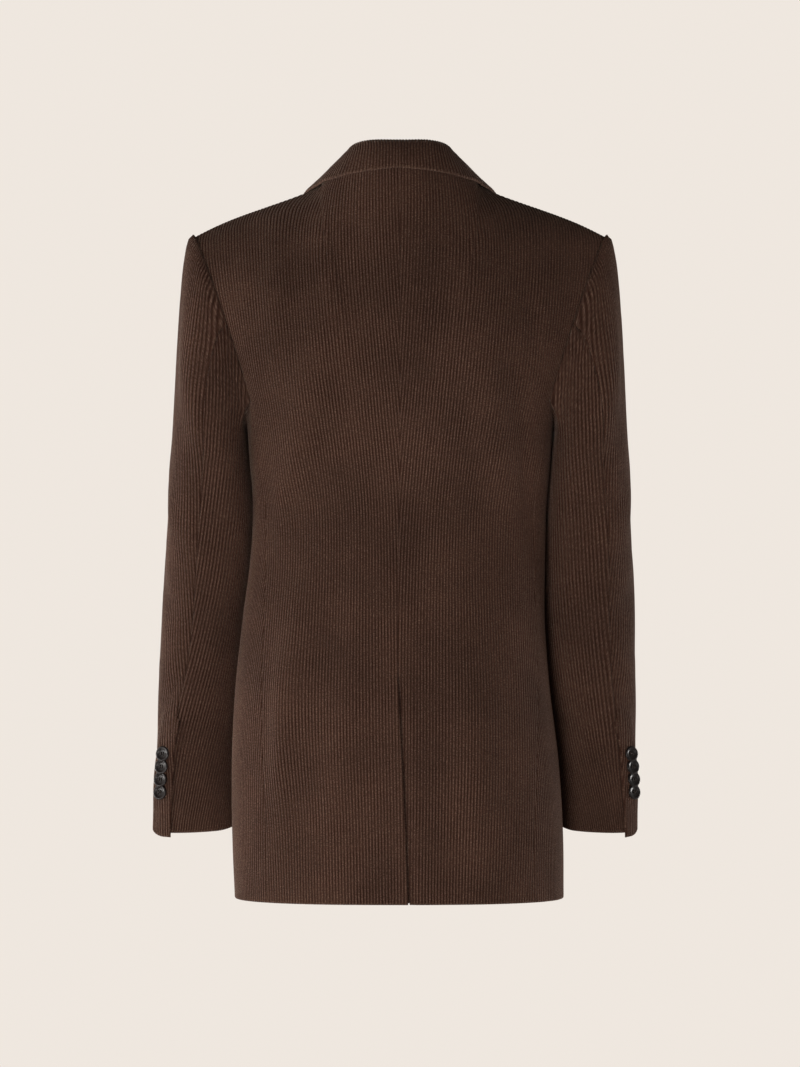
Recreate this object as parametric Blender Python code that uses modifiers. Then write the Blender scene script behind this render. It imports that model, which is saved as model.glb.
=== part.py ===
"""A corduroy blazer, filled out as if worn, with nobody in it.

Each piece that is cut and sewn on is its own thin wall of cloth, and the buttons are turned. Lengths are in
millimetres and angles in degrees, and MM turns lengths into Blender's metres. +Z is up, the wearer's left is +X
and the back faces +Y. The origin lies midway between the two shoulder points.

Paired pieces are worked out with +X as the outward side, and those of the wearer's right are mirrored. In every
grid of points the rows are the first axis and the columns the second, and rows x columns points outwards.
"""
import math

import bpy
import numpy as np
from mathutils import Vector

MM = 0.001
CLOTH = 2.0             # thickness of the wall
SEAM_GAP = 0.3          # between two pieces at a seam
COLLECTION = "corduroy_jacket"

# Heights of the body's main lines
HEM = -660.0
CHEST = -165.0          # the side seams end here, at the armhole's two lower corners
BREAK = -240.0          # the lapels turn back above this
UNDERARM_DIP = 23.0     # how far the side panel's top edge sags under the arm

# The neck and the shoulders
NECK_HALF = 75.0
NECK_DEPTH = 60.0
NECK_SIDE_HEIGHT = 51.0     # of the shoulder seam's straight line
NECK_RISE = 5.0         # the seam curves up from it at the neck
NECK_RISE_BEND = 16     # and does so the closer to the neck, the larger this is
NECK_BACK_HEIGHT = 72.0
SHOULDER_HALF = 205.0
SHOULDER_CROWN = 2.8    # the shoulder seam's rise above a straight line
NECK_SHARE = 0.36       # the neckline's share of the back's top edge

# The centre back and its vent, whose left side laps the right
VENT_TOP = -431.0
UNDERLAP = 35.0         # how far the right back reaches under the left
UNDERLAP_STEP = 3.0     # how far it steps in
UNDERLAP_TURN = 1.2     # the width in which it does so

# The front edges
OVERLAP = 18.0
ROLL_SLOPE = 0.305      # the roll line's run in x for its rise in z
FRONT_CORNER = 34.0     # radius of the hem's front corners
RIGHT_LIFT = 7.0        # the right front passes this far outside the left one
LIFT_NEAR = 25.0        # it does so in full up to this far past the centre
LIFT_FAR = 75.0         # and not at all past here

# The collar and lapels
LAPEL_CLEAR = 1.0       # between a lapel's edge and the front
NECK_CENTRE = -5.0      # y of the middle of the neck
STAND_INSET = 5.0       # the stand's seen face lies this far inside the neckline
STAND_SEAM = 1.5        # its foot is this far below the neckline
COLLAR_SHOULDER = 0.62  # where the collar passes the shoulder seam
COLLAR_DOWN = 0.262     # how far down the front edge it reaches
COLLAR_ROLL = 4.2       # the roll's outer radius
COLLAR_CROWN = 1.5      # the fall's bulge
COLLAR_TIP = (5, 15, 19)    # how far the tip of its end turns up out of the gorge

# How the cloth leaves its seams
CHEST_LEAD = 0.3        # share of the rise from the chest line over which the back keeps its lower slope
BLADE_SPREAD = 8.0      # how much wider it gets there at the armhole
CORNER_RISE = 0.8       # height of the hem's front corners, as a share of their radius
FOLD_END = 0.55         # a fold's height at its ends, as a share of its height in the middle
LIFT_END = 1.5          # the right front lies flush above this row
LIFT_EASE = 0.4

# The grids
LOWER_ROWS = 15
UPPER_ROWS = 10
NECK_CELLS = 4
SHOULDER_CELLS = 8
SIDE_CELLS = 5
HEAD_ROWS = 8
SLEEVE_ROWS = 13
LAPEL_ROWS = 12
LAPEL_CELLS = 6
ROLL_CELLS = 4
COLLAR_CELLS = 22
STAND_CELLS = 2
FALL_CELLS = 4

# The sleeves
SLEEVE_TOP = -215.0     # the sleeve is a tube of its own below this
CUFF = -585.0
CUFF_RISE = 12.0        # the cuff's edge is higher at the front than at the back
CUFF_LOW_ANGLE = 88.0   # where the cuff hangs lowest
SLEEVE_SQUARE = 2.6
UNDERARM_ANGLES = (124.0, 238.0)    # where the armhole's two lower corners lead down
HIND_SEAM_ROW = 4       # the armhole point of the hind-arm seam, in rows above the chest line
FORE_SEAM_ROW = 1
CUFF_VENT_ROWS = 4      # the cuff's vent, in rows of the sleeve's grid
CUFF_LAP = 8.0          # how far the upper sleeve laps the under sleeve there
CUFF_LIFT = 3.1         # and how far outside it lies
CUFF_LIFT_REACH = 30.0  # the lift fades out this far from the lapping edge
CUFF_LIFT_FULL = 14.0   # and is whole this near to it
CUFF_TAB = 4.0          # the lapping corner hangs this much lower
CUFF_TAB_WIDTH = 30.0
CUFF_TAB_HEIGHT = 40.0
HEAD_CROWD = 1.25       # how much closer the sleeve head's rows are at the armhole

# The buttons
CUFF_BUTTONS = 4
CUFF_BUTTON_RADIUS = 7.4
CUFF_BUTTON_DEPTH = 2.4
CUFF_BUTTON_SPACING = 13.0
CUFF_BUTTON_TILT = 12.5
CUFF_BUTTON_TOP = -517.0    # height of the highest one's centre
CUFF_BUTTON_INSET = 13.0    # from the lapping edge to their centres
FRONT_BUTTON_RADIUS = 10.5
FRONT_BUTTON_DEPTH = 3.6
FRONT_BUTTON_HEIGHTS = (-258.0, -362.0)
BUTTON_GAP = 0.45
CUFF_BUTTON_GAP = 0.85      # more, because the cuff is round under them


def table(columns, *rows):
    """A table whose columns are read by name, with rising values in its first one."""
    names = columns.split()
    values = np.array(rows, float).T
    return {"key": values[0], **dict(zip(names, values))}


BODY = table(
    "height half_left half_right back front square side_back_x side_front_x",
    (-660, 164.5, 163.0, 122, 138, 2.50, 130.0, 126),
    (-600, 167.0, 162.5, 122, 137, 2.50, 131.5, 126),
    (-520, 167.5, 157.5, 121, 134, 2.50, 135.0, 128),
    (-450, 164.0, 149.0, 116, 130, 2.50, 136.0, 128),
    (-380, 156.5, 144.0, 104, 126, 2.45, 134.0, 127),
    (-320, 149.0, 144.5, 92, 124, 2.40, 132.5, 127),
    (-268, 146.5, 146.0, 86, 126, 2.40, 133.5, 128),
    (-220, 150.0, 150.0, 91, 133, 2.70, 140.0, 136),
    (-165, 153.5, 153.5, 99, 136, 3.00, 148.0, 146),
)

CENTRE_BACK = table(      # the line of the centre seam and of the left back's edge below it
    "height x",
    (-660, -8),
    (-550, -3.5),
    (-431, 2),
    (-300, 1),
    (-165, 0),
)

BACK_LEADS = table(       # from the back's top edge to the handle that leads down from it
    "across x y z",
    (0.00, 0, 16, -46),
    (0.18, 7, 26, -46),
    (0.28, 12, 49, -36),
    (0.36, 14, 74, -22),
    (0.45, 10, 68, -20),
    (0.60, 4, 54, -14),
    (0.80, -4, 44, -12),
    (1.00, -9, 38, -14),
)

FRONT_LEADS = table(      # handles up from the chest line and down from the shoulder, from armhole to front edge
    "across chest_x chest_y chest_z top_x top_y top_z",
    (0.0, 7, 10, 58, -14, -44, -16),
    (0.5, 10, 4, 66, -14, -54, -16),
    (1.0, 23, 0, 78, -13, -48, -31),
)

SLEEVE = table(
    "height outer_left outer_right inner_left inner_right hind_left hind_right centre_y half_depth",
    (-592, 249.0, 237.4, 163.9, 159.1, 235.5, 229.5, -58, 45),
    (-540, 246.4, 237.4, 164.9, 156.5, 232.5, 226.5, -56, 47),
    (-500, 244.4, 237.4, 164.7, 153.1, 228, 222, -53, 49),
    (-460, 243.3, 237.3, 163.1, 148.5, 219.5, 215.5, -50, 52),
    (-420, 241.3, 236.2, 160.1, 145.3, 211.5, 211.5, -46, 55),
    (-380, 239.2, 236.1, 155.9, 143.4, 206.5, 210, -42, 58),
    (-340, 237.1, 235.0, 151.0, 143.9, 203.5, 208.5, -38, 61),
    (-300, 234.0, 232.0, 147.8, 145.2, 200.5, 207, -33, 64),
    (-260, 230.8, 229.8, 147.5, 147.3, 198, 205.5, -28, 66),
    (-215, 228.5, 228.0, 151.5, 151.5, 195, 202, -20, 68),
)

SLEEVE_HEAD = table(      # by angle from the outside of the arm: the lead out of the armhole, and up from the tube
    "angle out_x out_y out_z up",
    (0, 12, 0, 20, 122),
    (45, 12, 9, 11, 100),
    (90, 9, 5, 0, 60),
    (135, 8, -2, -4, 28),
    (180, 4, 0, -5, 10),
    (225, 8, 2, -4, 28),
    (270, 9, -8, 0, 60),
    (315, 12, -9, 11, 100),
    (360, 12, 0, 20, 122),
)

COLLAR = table(           # from the centre back to the collar's front end: the roll's crest, and the fall's edge
    "share crest_x crest_y crest_z edge_x edge_y edge_z",
    (0.00, 0, 51, 94, 0, 66.5, 66),
    (0.20, 30, 46, 93.8, 31, 61.5, 63),
    (0.42, 50, 27, 88, 63.8, 42.8, 57.5),
    (0.62, 58, -2, 73, 91, 4, 49.3),
    (0.82, 63, -27, 47, 107, -31, 22),
    (1.00, 62, -48, 23, 111, -62, -12),
)

LAPEL = table(            # from the break to the gorge: the place up the front edge, width, slant and roll radius
    "share up width slant radius",
    (0.00, 0.845, 0.035, 0.000, 3.0),
    (0.25, 1.060, 0.170, 0.005, 3.1),
    (0.50, 1.270, 0.320, 0.020, 4.0),
    (0.75, 1.500, 0.450, 0.055, 4.4),
    (0.90, 1.640, 0.525, 0.085, 4.4),
    (1.00, 1.733, 0.560, 0.110, 4.4),
)

FOLDS = table(            # soft ridges, or troughs where the height is negative, in the back
    "x0 z0 x1 z1 width height",
    (80, -105, 106, -235, 21, 6.0),
    (106, -225, 133, -300, 18, 5.0),
    (101, -385, 133, -575, 19, 6.5),
    (30, -345, 69, -600, 22, 6.0),
    (2, -330, -19, -620, 19, 3.2),
    (-114, -150, -136, -290, 15, -5.0),
    (-92, -140, -118, -300, 20, 4.5),
    (123, -15, 124, -105, 15, 3.0),
    (-128, -62, -138, -95, 16, -4.0),
    (-152, -35, -156, -70, 12, 2.4),
    (-60, -400, -82, -600, 24, 5.0),
)

SLEEVE_FOLDS = table(     # the same in the sleeves, by angle round the arm and height
    "angle0 z0 angle1 z1 width height",
    (62, -20, 78, -120, 11, -3.0),
    (30, -60, 86, -205, 15, 3.2),
    (48, -150, 100, -290, 15, -3.0),
    (25, -240, 88, -330, 16, 3.2),
    (20, -335, 75, -395, 14, -2.6),
    (78, -430, 20, -505, 12, -3.0),
    (84, -480, 30, -550, 14, 2.6),
    (250, -70, 282, -200, 14, 3.0),
    (255, -330, 320, -375, 14, -3.0),
    (250, -380, 330, -420, 14, 3.0),
)


def read(chart, column, place):
    """A column of a table at any place along its first one, on a smooth curve through the rows."""
    keys, values = chart["key"], chart[column]
    slopes = np.gradient(values, keys)
    row = np.clip(np.searchsorted(keys, place) - 1, 0, len(keys) - 2)
    span = keys[row + 1] - keys[row]
    t = np.clip((place - keys[row]) / span, 0, 1)
    start = values[row] * (1 + 2 * t) * (1 - t) ** 2 + values[row + 1] * t**2 * (3 - 2 * t)
    return start + span * t * (1 - t) * (slopes[row] * (1 - t) - slopes[row + 1] * t)


def triple(chart, names, place):
    """Three columns of a table as points."""
    return np.stack([read(chart, name, place) for name in names.split()], -1)


def ease(t):
    """0 to 1, level at both ends."""
    t = np.clip(t, 0, 1)
    return t * t * (3 - 2 * t)


def unit(vectors):
    """Vectors at length 1."""
    return vectors / np.linalg.norm(vectors, axis=-1, keepdims=True)


def points(x, y, z):
    """Coordinates as points."""
    return np.stack(np.broadcast_arrays(x, y, z), -1)


def bezier(p0, p1, p2, p3, t):
    """Points on cubic Bezier curves."""
    t = np.asarray(t)[..., None]
    return p0 * (1 - t) ** 3 + 3 * p1 * t * (1 - t) ** 2 + 3 * p2 * t**2 * (1 - t) + p3 * t**3


def oval(angle, half_x, half_y, square):
    """The reach of an oval with filled-out corners, at an angle from its y axis."""
    turn = np.radians(angle)
    return ((np.abs(np.sin(turn)) / half_x) ** square + (np.abs(np.cos(turn)) / half_y) ** square) ** (-1 / square)


class Side:
    """The wearer's left or right, whose widths differ a little."""

    def __init__(self, name, sign):
        self.name = name
        self.sign = sign
        self.half = "half_" + name
        self.outer = "outer_" + name
        self.inner = "inner_" + name
        self.hind = "hind_" + name


LEFT = Side("left", 1)
RIGHT = Side("right", -1)


# ---- The body: rings round the trunk, and curves from the chest line up to the neckline and shoulders ----

def trunk(side, angle, height):
    """The body's outer face, at an angle from the centre back."""
    depth = np.where(np.cos(np.radians(angle)) >= 0, read(BODY, "back", height), read(BODY, "front", height))
    reach = oval(angle, read(BODY, side.half, height), depth, read(BODY, "square", height))
    return points(reach * np.sin(np.radians(angle)), reach * np.cos(np.radians(angle)), height)


def trunk_angle(side, x, height, face):
    """The angle at which the body's back or front face is x from the centre."""
    square = read(BODY, "square", height)
    share = np.abs(x) / read(BODY, side.half, height)
    y = read(BODY, face, height) * (1 - share**square) ** (1 / square)
    return np.degrees(np.arctan2(x, y if face == "back" else -y)) % 360


def centre_back(side, height):
    """The x at which a side's back begins, half a seam gap from the centre line, or its edge at the vent."""
    return side.sign * read(CENTRE_BACK, "x", height) + SEAM_GAP / 2


def front_edge(height):
    """The x of the front edge, and of the roll line above the break."""
    return -OVERLAP + ROLL_SLOPE * np.maximum(height - BREAK, 0)


def shoulder(share):
    """The shoulder seam from the neck to the sleeve."""
    x = NECK_HALF + (SHOULDER_HALF - NECK_HALF) * share
    z = NECK_SIDE_HEIGHT * (1 - share) + SHOULDER_CROWN * np.sin(math.pi * share**2)
    return points(x, 0, z + NECK_RISE * (1 - share) ** NECK_RISE_BEND)


def back_top(across):
    """The back's top edge: the neckline, then the shoulder."""
    turn = np.clip(across / NECK_SHARE, 0, 1) * math.pi / 2
    low = NECK_SIDE_HEIGHT + NECK_RISE
    rise = low + (NECK_BACK_HEIGHT - low) * np.cos(turn)
    neck = points(NECK_HALF * np.sin(turn), NECK_DEPTH * np.cos(turn), rise)
    along = shoulder(np.clip((across - NECK_SHARE) / (1 - NECK_SHARE), 0, 1))
    return np.where((across < NECK_SHARE)[..., None], neck, along)


def back(side, across, up):
    """The back's outer face: across from the centre to the side, up from hem (0) by chest (1) to shoulder (2)."""
    height = HEM + (CHEST - HEM) * np.minimum(up, 1)
    inner = (trunk_angle(side, centre_back(side, height), height, "back") + 180) % 360 - 180
    outer = trunk_angle(side, read(BODY, "side_back_x", height), height, "back")
    angle = inner + (outer - inner) * across
    base = trunk(side, angle, height)
    top = back_top(across)
    rise = CHEST_LEAD * (top[..., 2:] - CHEST)
    lead = base + (trunk(side, angle, height) - trunk(side, angle, height - 1)) * rise
    lead = lead + points(BLADE_SPREAD * across**2, 0, 0)
    raised = bezier(base, lead, top + triple(BACK_LEADS, "x y z", across), top, np.clip(up - 1, 0, 1))
    return np.where((up > 1)[..., None], raised, base)


def side_panel(side, across, up):
    """The side panel's outer face, from the side-back seam to the side-front seam and from the hem to the arm."""
    top = CHEST - UNDERARM_DIP * np.sin(math.pi * across)
    height = HEM + (top - HEM) * up
    inner = trunk_angle(side, read(BODY, "side_back_x", height), height, "back")
    outer = trunk_angle(side, read(BODY, "side_front_x", height), height, "front")
    return trunk(side, inner + (outer - inner) * across, height)


def front(side, across, up):
    """The front's outer face: across from the side to the front edge, up as on the back."""
    width = read(BODY, "side_front_x", HEM) + OVERLAP
    from_corner = np.clip(1 - (1 - across) * width / FRONT_CORNER, 0, 1)
    hem = HEM + FRONT_CORNER * (1 - np.sqrt(1 - from_corner**2)) * CORNER_RISE
    height = hem + (CHEST - hem) * np.minimum(up, 1)
    inner = trunk_angle(side, read(BODY, "side_front_x", height), height, "front")
    outer = trunk_angle(side, front_edge(height), height, "front")
    base = trunk(side, inner + (outer - inner) * across, height)
    top = shoulder(1 - across)
    lead = base + triple(FRONT_LEADS, "chest_x chest_y chest_z", across)
    raised = bezier(base, lead, top + triple(FRONT_LEADS, "top_x top_y top_z", across), top, np.clip(up - 1, 0, 1))
    face = np.where((up > 1)[..., None], raised, base)
    if side is RIGHT:
        near = ease((LIFT_FAR - face[..., 0]) / (LIFT_FAR - LIFT_NEAR)) * ease((LIFT_END - up) / LIFT_EASE)
        face = face - points(0, RIGHT_LIFT * near, 0)
    return face


def normals(face, side, across, up):
    """Unit vectors square to a piece's outer face."""
    step = 1e-3
    top = 2.0 if face is not side_panel else 1.0
    columns = face(side, np.minimum(across + step, 1), up) - face(side, np.maximum(across - step, 0), up)
    rows = face(side, across, np.minimum(up + step, top)) - face(side, across, np.maximum(up - step, 0))
    return unit(np.cross(rows, columns))


def relief(chart, first, second):
    """The height of a table's folds at two coordinates."""
    total = np.zeros(np.shape(first))
    names = list(chart)[1:]
    for a0, b0, a1, b1, width, height in zip(*(chart[name] for name in names)):
        run = np.array([a1 - a0, b1 - b0])
        length = np.hypot(*run)
        along = ((first - a0) * run[0] + (second - b0) * run[1]) / length**2
        aside = ((first - a0) * run[1] - (second - b0) * run[0]) / length
        beyond = np.maximum(np.abs(along - 0.5) - 0.5, 0) * length
        middle = FOLD_END + (1 - FOLD_END) * np.sin(math.pi * np.clip(along, 0, 1))
        total += height * middle * np.exp(-((aside / width) ** 2) - (beyond / (2 * width)) ** 2)
    return total


def back_folds(side, place):
    """The folds' height on the back, which fades out at the shoulder, the vent's edge and the sides."""
    height = relief(FOLDS, side.sign * place[..., 0], place[..., 2])
    at_side = ease((read(BODY, "side_back_x", place[..., 2]) - place[..., 0]) / 20)
    return height * at_side * ease((55 - place[..., 2]) / 60)


# ---- Walls of cloth ----

def drawn_in(face, out):
    """A grid with its border moved in by half a seam gap, along the cloth."""
    result = face.copy()
    for pick, inside in (
        ((0, slice(None)), (1, slice(None))),
        ((-1, slice(None)), (-2, slice(None))),
        ((slice(None), 0), (slice(None), 1)),
        ((slice(None), -1), (slice(None), -2)),
    ):
        across = unit(np.cross(out[pick], np.gradient(face[pick], axis=0)))
        across *= np.sign(np.sum(across * (face[inside] - face[pick]), -1, keepdims=True))
        result[pick] += across * SEAM_GAP / 2
    return result


def material(name, colour, roughness):
    """A plain material."""
    made = bpy.data.materials.new(name)
    made.use_nodes = True
    shader = made.node_tree.nodes["Principled BSDF"]
    shader.inputs["Base Color"].default_value = (*colour, 1)
    shader.inputs["Roughness"].default_value = roughness
    return made


def add(name, vertices, faces, finish, mirrored=False):
    """An object from points in millimetres, mirrored for the wearer's right."""
    vertices = np.array(vertices) * MM
    if mirrored:
        vertices = vertices * (-1, 1, 1)
        faces = [tuple(reversed(face)) for face in faces]
    mesh = bpy.data.meshes.new(name)
    mesh.from_pydata(vertices.tolist(), [], faces)
    mesh.materials.append(finish)
    mesh.shade_smooth()
    mesh.set_sharp_from_angle(angle=math.radians(35))
    piece = bpy.data.objects.new(name, mesh)
    bpy.data.collections[COLLECTION].objects.link(piece)
    return piece


def wall(name, face, out, finish, mirrored=False, cells=None):
    """A closed wall of cloth behind a grid of its outer points; cells leaves out squares of the grid."""
    face = drawn_in(face, out)
    rows, columns = face.shape[:2]
    index = np.arange(rows * columns).reshape(rows, columns)
    if cells is None:
        cells = np.ones((rows - 1, columns - 1), bool)
    corners = [index[:-1, :-1], index[1:, :-1], index[1:, 1:], index[:-1, 1:]]
    quads = np.stack([corner[cells] for corner in corners], -1)
    used, renumbered = np.unique(quads, return_inverse=True)
    quads = [tuple(quad) for quad in renumbered.reshape(quads.shape).tolist()]
    edges = {(quad[k], quad[(k + 1) % 4]) for quad in quads for k in range(4)}
    rims = sorted((a, b) for a, b in edges if (b, a) not in edges)
    under = len(used)
    outer = face.reshape(-1, 3)[used]
    inner = outer - out.reshape(-1, 3)[used] * CLOTH
    faces = quads + [tuple(corner + under for corner in reversed(quad)) for quad in quads]
    faces += [(b, a, a + under, b + under) for a, b in rims]
    return add(name, np.concatenate([outer, inner]), faces, finish, mirrored)


def grid(across, up):
    """Two lists as a grid of places."""
    return np.meshgrid(across, up)


def body_rows():
    """The rows of the back and front: hem, chest, shoulder."""
    return np.concatenate([np.linspace(0, 1, LOWER_ROWS + 1), 1 + np.linspace(0, 1, UPPER_ROWS + 1)[1:]])


def seam_normals(side, columns):
    """The shoulder seam's own normals, halfway between the back's and the front's."""
    on_back = normals(back, side, NECK_SHARE + (1 - NECK_SHARE) * columns, np.full(columns.shape, 2.0))
    on_front = normals(front, side, 1 - columns, np.full(columns.shape, 2.0))
    return unit(on_back + on_front)


def make_back(side, finish):
    """One back, the right one with the vent's underlap."""
    neck = np.linspace(0, NECK_SHARE, NECK_CELLS + 1)
    slope = np.linspace(NECK_SHARE, 1, SHOULDER_CELLS + 1)
    across, up = grid(np.concatenate([neck, slope[1:]]), body_rows())
    face = back(side, across, up)
    out = normals(back, side, across, up)
    out[-1, NECK_CELLS:] = seam_normals(side, np.linspace(0, 1, SHOULDER_CELLS + 1))
    face = face + out * back_folds(side, face)[..., None]
    cells = None
    if side is RIGHT:
        face, out, cells = with_underlap(face, out)
    wall("back_" + side.name, face, out, finish, side is RIGHT, cells)


def with_underlap(face, out):
    """The right back's grid with columns for the vent's underlap, which steps in beneath the left back."""
    height = np.minimum(face[:, :1, 2], CHEST)
    reach = read(CENTRE_BACK, "x", height) - SEAM_GAP / 2 + np.array([[UNDERLAP, UNDERLAP / 2, 0]])
    height = np.repeat(height, 3, 1)
    place = trunk(LEFT, trunk_angle(LEFT, reach, height, "back"), height)
    under_out = unit(points(0 * reach, 1, 0))
    under = place + under_out * (back_folds(LEFT, place) - UNDERLAP_STEP)[..., None]
    under = under + points(0, 0, face[:, :1, 2] - height)
    under = under * (-1, 1, 1)
    above = face[:-1, 0, 2] > VENT_TOP
    cells = np.ones((face.shape[0] - 1, face.shape[1] + 2), bool)
    cells[above, :3] = False
    turned = face[:, :1] + points(UNDERLAP_TURN, 0, 0)
    turned[1:][above] = face[1:, :1][above]
    face = np.concatenate([under, turned, face[:, 1:]], 1)
    out = np.concatenate([under_out, out], 1)
    return face, out, cells


def make_side(side, finish):
    """One side panel."""
    across, up = grid(np.linspace(0, 1, SIDE_CELLS + 1), np.linspace(0, 1, LOWER_ROWS + 1))
    face = side_panel(side, across, up)
    wall("side_" + side.name, face, normals(side_panel, side, across, up), finish, side is RIGHT)


def make_front(side, finish):
    """One front."""
    across, up = grid(np.linspace(0, 1, SHOULDER_CELLS + 1), body_rows())
    face = front(side, across, up)
    out = normals(front, side, across, up)
    out[-1] = seam_normals(side, 1 - np.linspace(0, 1, SHOULDER_CELLS + 1))
    wall("front_" + side.name, face, out, finish, side is RIGHT)


# ---- The sleeves: tubes whose tops are drawn out of the armhole's own points ----

def armhole(side):
    """The armhole's points from the shoulder round the back and under the arm to the shoulder again."""
    rows = 1 + np.linspace(0, 1, UPPER_ROWS + 1)
    down = back(side, np.ones(UPPER_ROWS + 1), rows)[::-1]
    under = side_panel(side, np.linspace(0, 1, SIDE_CELLS + 1), np.ones(SIDE_CELLS + 1))
    rise = front(side, np.zeros(UPPER_ROWS + 1), rows)
    return np.concatenate([down, under[1:], rise[1:]])


def sleeve_ring(side, angle, height):
    """The sleeve's outer face below the armhole, at an angle from the outside of the arm."""
    outer, inner = read(SLEEVE, side.outer, height), read(SLEEVE, side.inner, height)
    half_depth = read(SLEEVE, "half_depth", height)
    reach = oval(90 - angle, (outer - inner) / 2, half_depth, SLEEVE_SQUARE)
    turn = np.radians(angle)
    x = (outer + inner) / 2 + reach * np.cos(turn)
    return points(x, read(SLEEVE, "centre_y", height) + reach * np.sin(turn), height)


def hind_angle(side, height):
    """The hind-arm seam's angle round the sleeve."""
    outer, inner = read(SLEEVE, side.outer, height), read(SLEEVE, side.inner, height)
    share = (2 * read(SLEEVE, side.hind, height) - outer - inner) / (outer - inner)
    y = read(SLEEVE, "half_depth", height) * (1 - np.abs(share) ** SLEEVE_SQUARE) ** (1 / SLEEVE_SQUARE)
    return np.degrees(np.arctan2(y, share * (outer - inner) / 2))


def sleeve(side):
    """A sleeve's grid from the armhole to the cuff, its angles, and the columns of its two seams."""
    top = armhole(side)
    lengths = np.concatenate([[0], np.cumsum(np.linalg.norm(np.diff(top, axis=0), axis=1))])
    turn = 360 * lengths / lengths[-1]
    corners = UPPER_ROWS, UPPER_ROWS + SIDE_CELLS
    hind, fore = corners[0] - HIND_SEAM_ROW, corners[1] + FORE_SEAM_ROW

    def angles(height):
        found = np.empty(height.shape)
        for row, level in enumerate(height):
            knots = (0, hind_angle(side, level[hind]), *UNDERARM_ANGLES, 360)
            found[row] = np.interp(turn, (0, turn[hind], turn[corners[0]], turn[corners[1]], 360), knots)
        return found

    start_height = np.full((1, len(turn)), SLEEVE_TOP)
    start_angle = angles(start_height)
    base = sleeve_ring(side, start_angle, start_height)
    above = base - sleeve_ring(side, start_angle, start_height - 1)
    share = np.linspace(0, 1, HEAD_ROWS + 1)[:, None] ** HEAD_CROWD
    out = top + triple(SLEEVE_HEAD, "out_x out_y out_z", turn)
    up = base + above * read(SLEEVE_HEAD, "up", turn)[:, None]
    head = bezier(top, out, up, base, np.repeat(share, len(turn), 1))
    fall = np.linspace(0, 1, SLEEVE_ROWS + 1)[1:, None]
    edge = CUFF - CUFF_RISE * np.cos(np.radians(start_angle - CUFF_LOW_ANGLE))
    height = SLEEVE_TOP + (edge - SLEEVE_TOP) * fall
    angle = angles(height)
    face = np.concatenate([head, sleeve_ring(side, angle, height)])
    angle = np.concatenate([np.repeat(start_angle, HEAD_ROWS + 1, 0), angle])
    closed = np.concatenate([face[:, -2:-1], face, face[:, 1:2]], 1)
    normal = unit(np.cross(np.gradient(face, axis=0), np.gradient(closed, axis=1)[:, 1:-1]))
    drop = ease(np.arange(len(face)) / (HEAD_ROWS / 2))[:, None]
    face = face + normal * (relief(SLEEVE_FOLDS, angle, face[..., 2]) * drop)[..., None]
    return face, normal, hind, fore


def make_sleeve(side, finish):
    """One sleeve's two pieces, and the buttons on the vent between them."""
    face, out, hind, fore = sleeve(side)
    wall("sleeve_under_" + side.name, face[:, hind:fore + 1], out[:, hind:fore + 1], finish, side is RIGHT)
    over = np.concatenate([face[:, fore:-1], face[:, :hind + 1]], 1)
    over_out = np.concatenate([out[:, fore:-1], out[:, :hind + 1]], 1)
    over, over_out, cells = lapped(over, over_out, face[:, hind + 1])
    wall("sleeve_upper_" + side.name, over, over_out, finish, side is RIGHT, cells)
    return over, over_out


def lapped(face, out, beyond):
    """The upper sleeve's grid, lifted along the cuff's vent, with a column that laps the under sleeve there."""
    drop = (face[:, -1, 2] - face[-1, -1, 2])[:, None]
    to_edge = np.linalg.norm(face - face[:, -1:], axis=-1)
    in_vent = (np.arange(len(face)) >= len(face) - 1 - CUFF_VENT_ROWS)[:, None]
    lift = in_vent * ease((CUFF_LIFT_REACH - to_edge) / (CUFF_LIFT_REACH - CUFF_LIFT_FULL))
    raised = face + out * (CUFF_LIFT * lift)[..., None]
    raised[..., 2] -= CUFF_TAB * ease(1 - to_edge / CUFF_TAB_WIDTH) * ease(1 - drop / CUFF_TAB_HEIGHT)
    ahead = unit(beyond - face[:, -1])
    lap = raised[:, -1] + ahead * CUFF_LAP
    above = ~in_vent[:, 0]
    raised[above, -1] -= ahead[above] * SEAM_GAP / 2
    cells = np.ones((len(face) - 1, face.shape[1]), bool)
    cells[above[:-1], -1] = False
    return np.concatenate([raised, lap[:, None]], 1), np.concatenate([out, out[:, -1:]], 1), cells


# ---- The collar and the lapels: walls that turn over a roll ----

def lapel(side, cell, share):
    """A lapel's seen face and its normals: cell runs from the outer edge (0) by the roll (1) round it (2)."""
    width, slant = read(LAPEL, "width", share), read(LAPEL, "slant", share)
    radius = read(LAPEL, "radius", share)[..., None]
    reach = np.clip(1 - cell, 0, 1)
    across, up = 1 - width * reach, read(LAPEL, "up", share) - slant * reach
    panel, out = front(side, across, up), normals(front, side, across, up)
    level = ease(reach)[..., None]
    crest = 2 * radius - CLOTH
    leaf = panel + out * (crest * (1 - level) + (CLOTH + LAPEL_CLEAR) * level)
    step = 1e-3
    along = unit(front(side, across, up + step) - front(side, across, up - step))
    onto = np.cross(along, out)
    turn = (math.pi * np.clip(cell - 1, 0, 1))[..., None]
    radial = np.cos(turn) * out - np.sin(turn) * onto
    rolled = panel + out * (radius - CLOTH) + radial * radius
    bent = (cell > 1)[..., None]
    return np.where(bent, rolled, leaf), np.where(bent, radial, out)


def make_lapel(side, finish):
    """One lapel, lying on its front."""
    cells = np.concatenate([np.linspace(0, 1, LAPEL_CELLS + 1), 1 + np.linspace(0, 1, ROLL_CELLS + 1)[1:]])
    cell, share = grid(cells, np.linspace(0, 1, LAPEL_ROWS + 1))
    face, out = lapel(side, cell, share)
    wall("lapel_" + side.name, face, out, finish, side is RIGHT)


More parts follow.
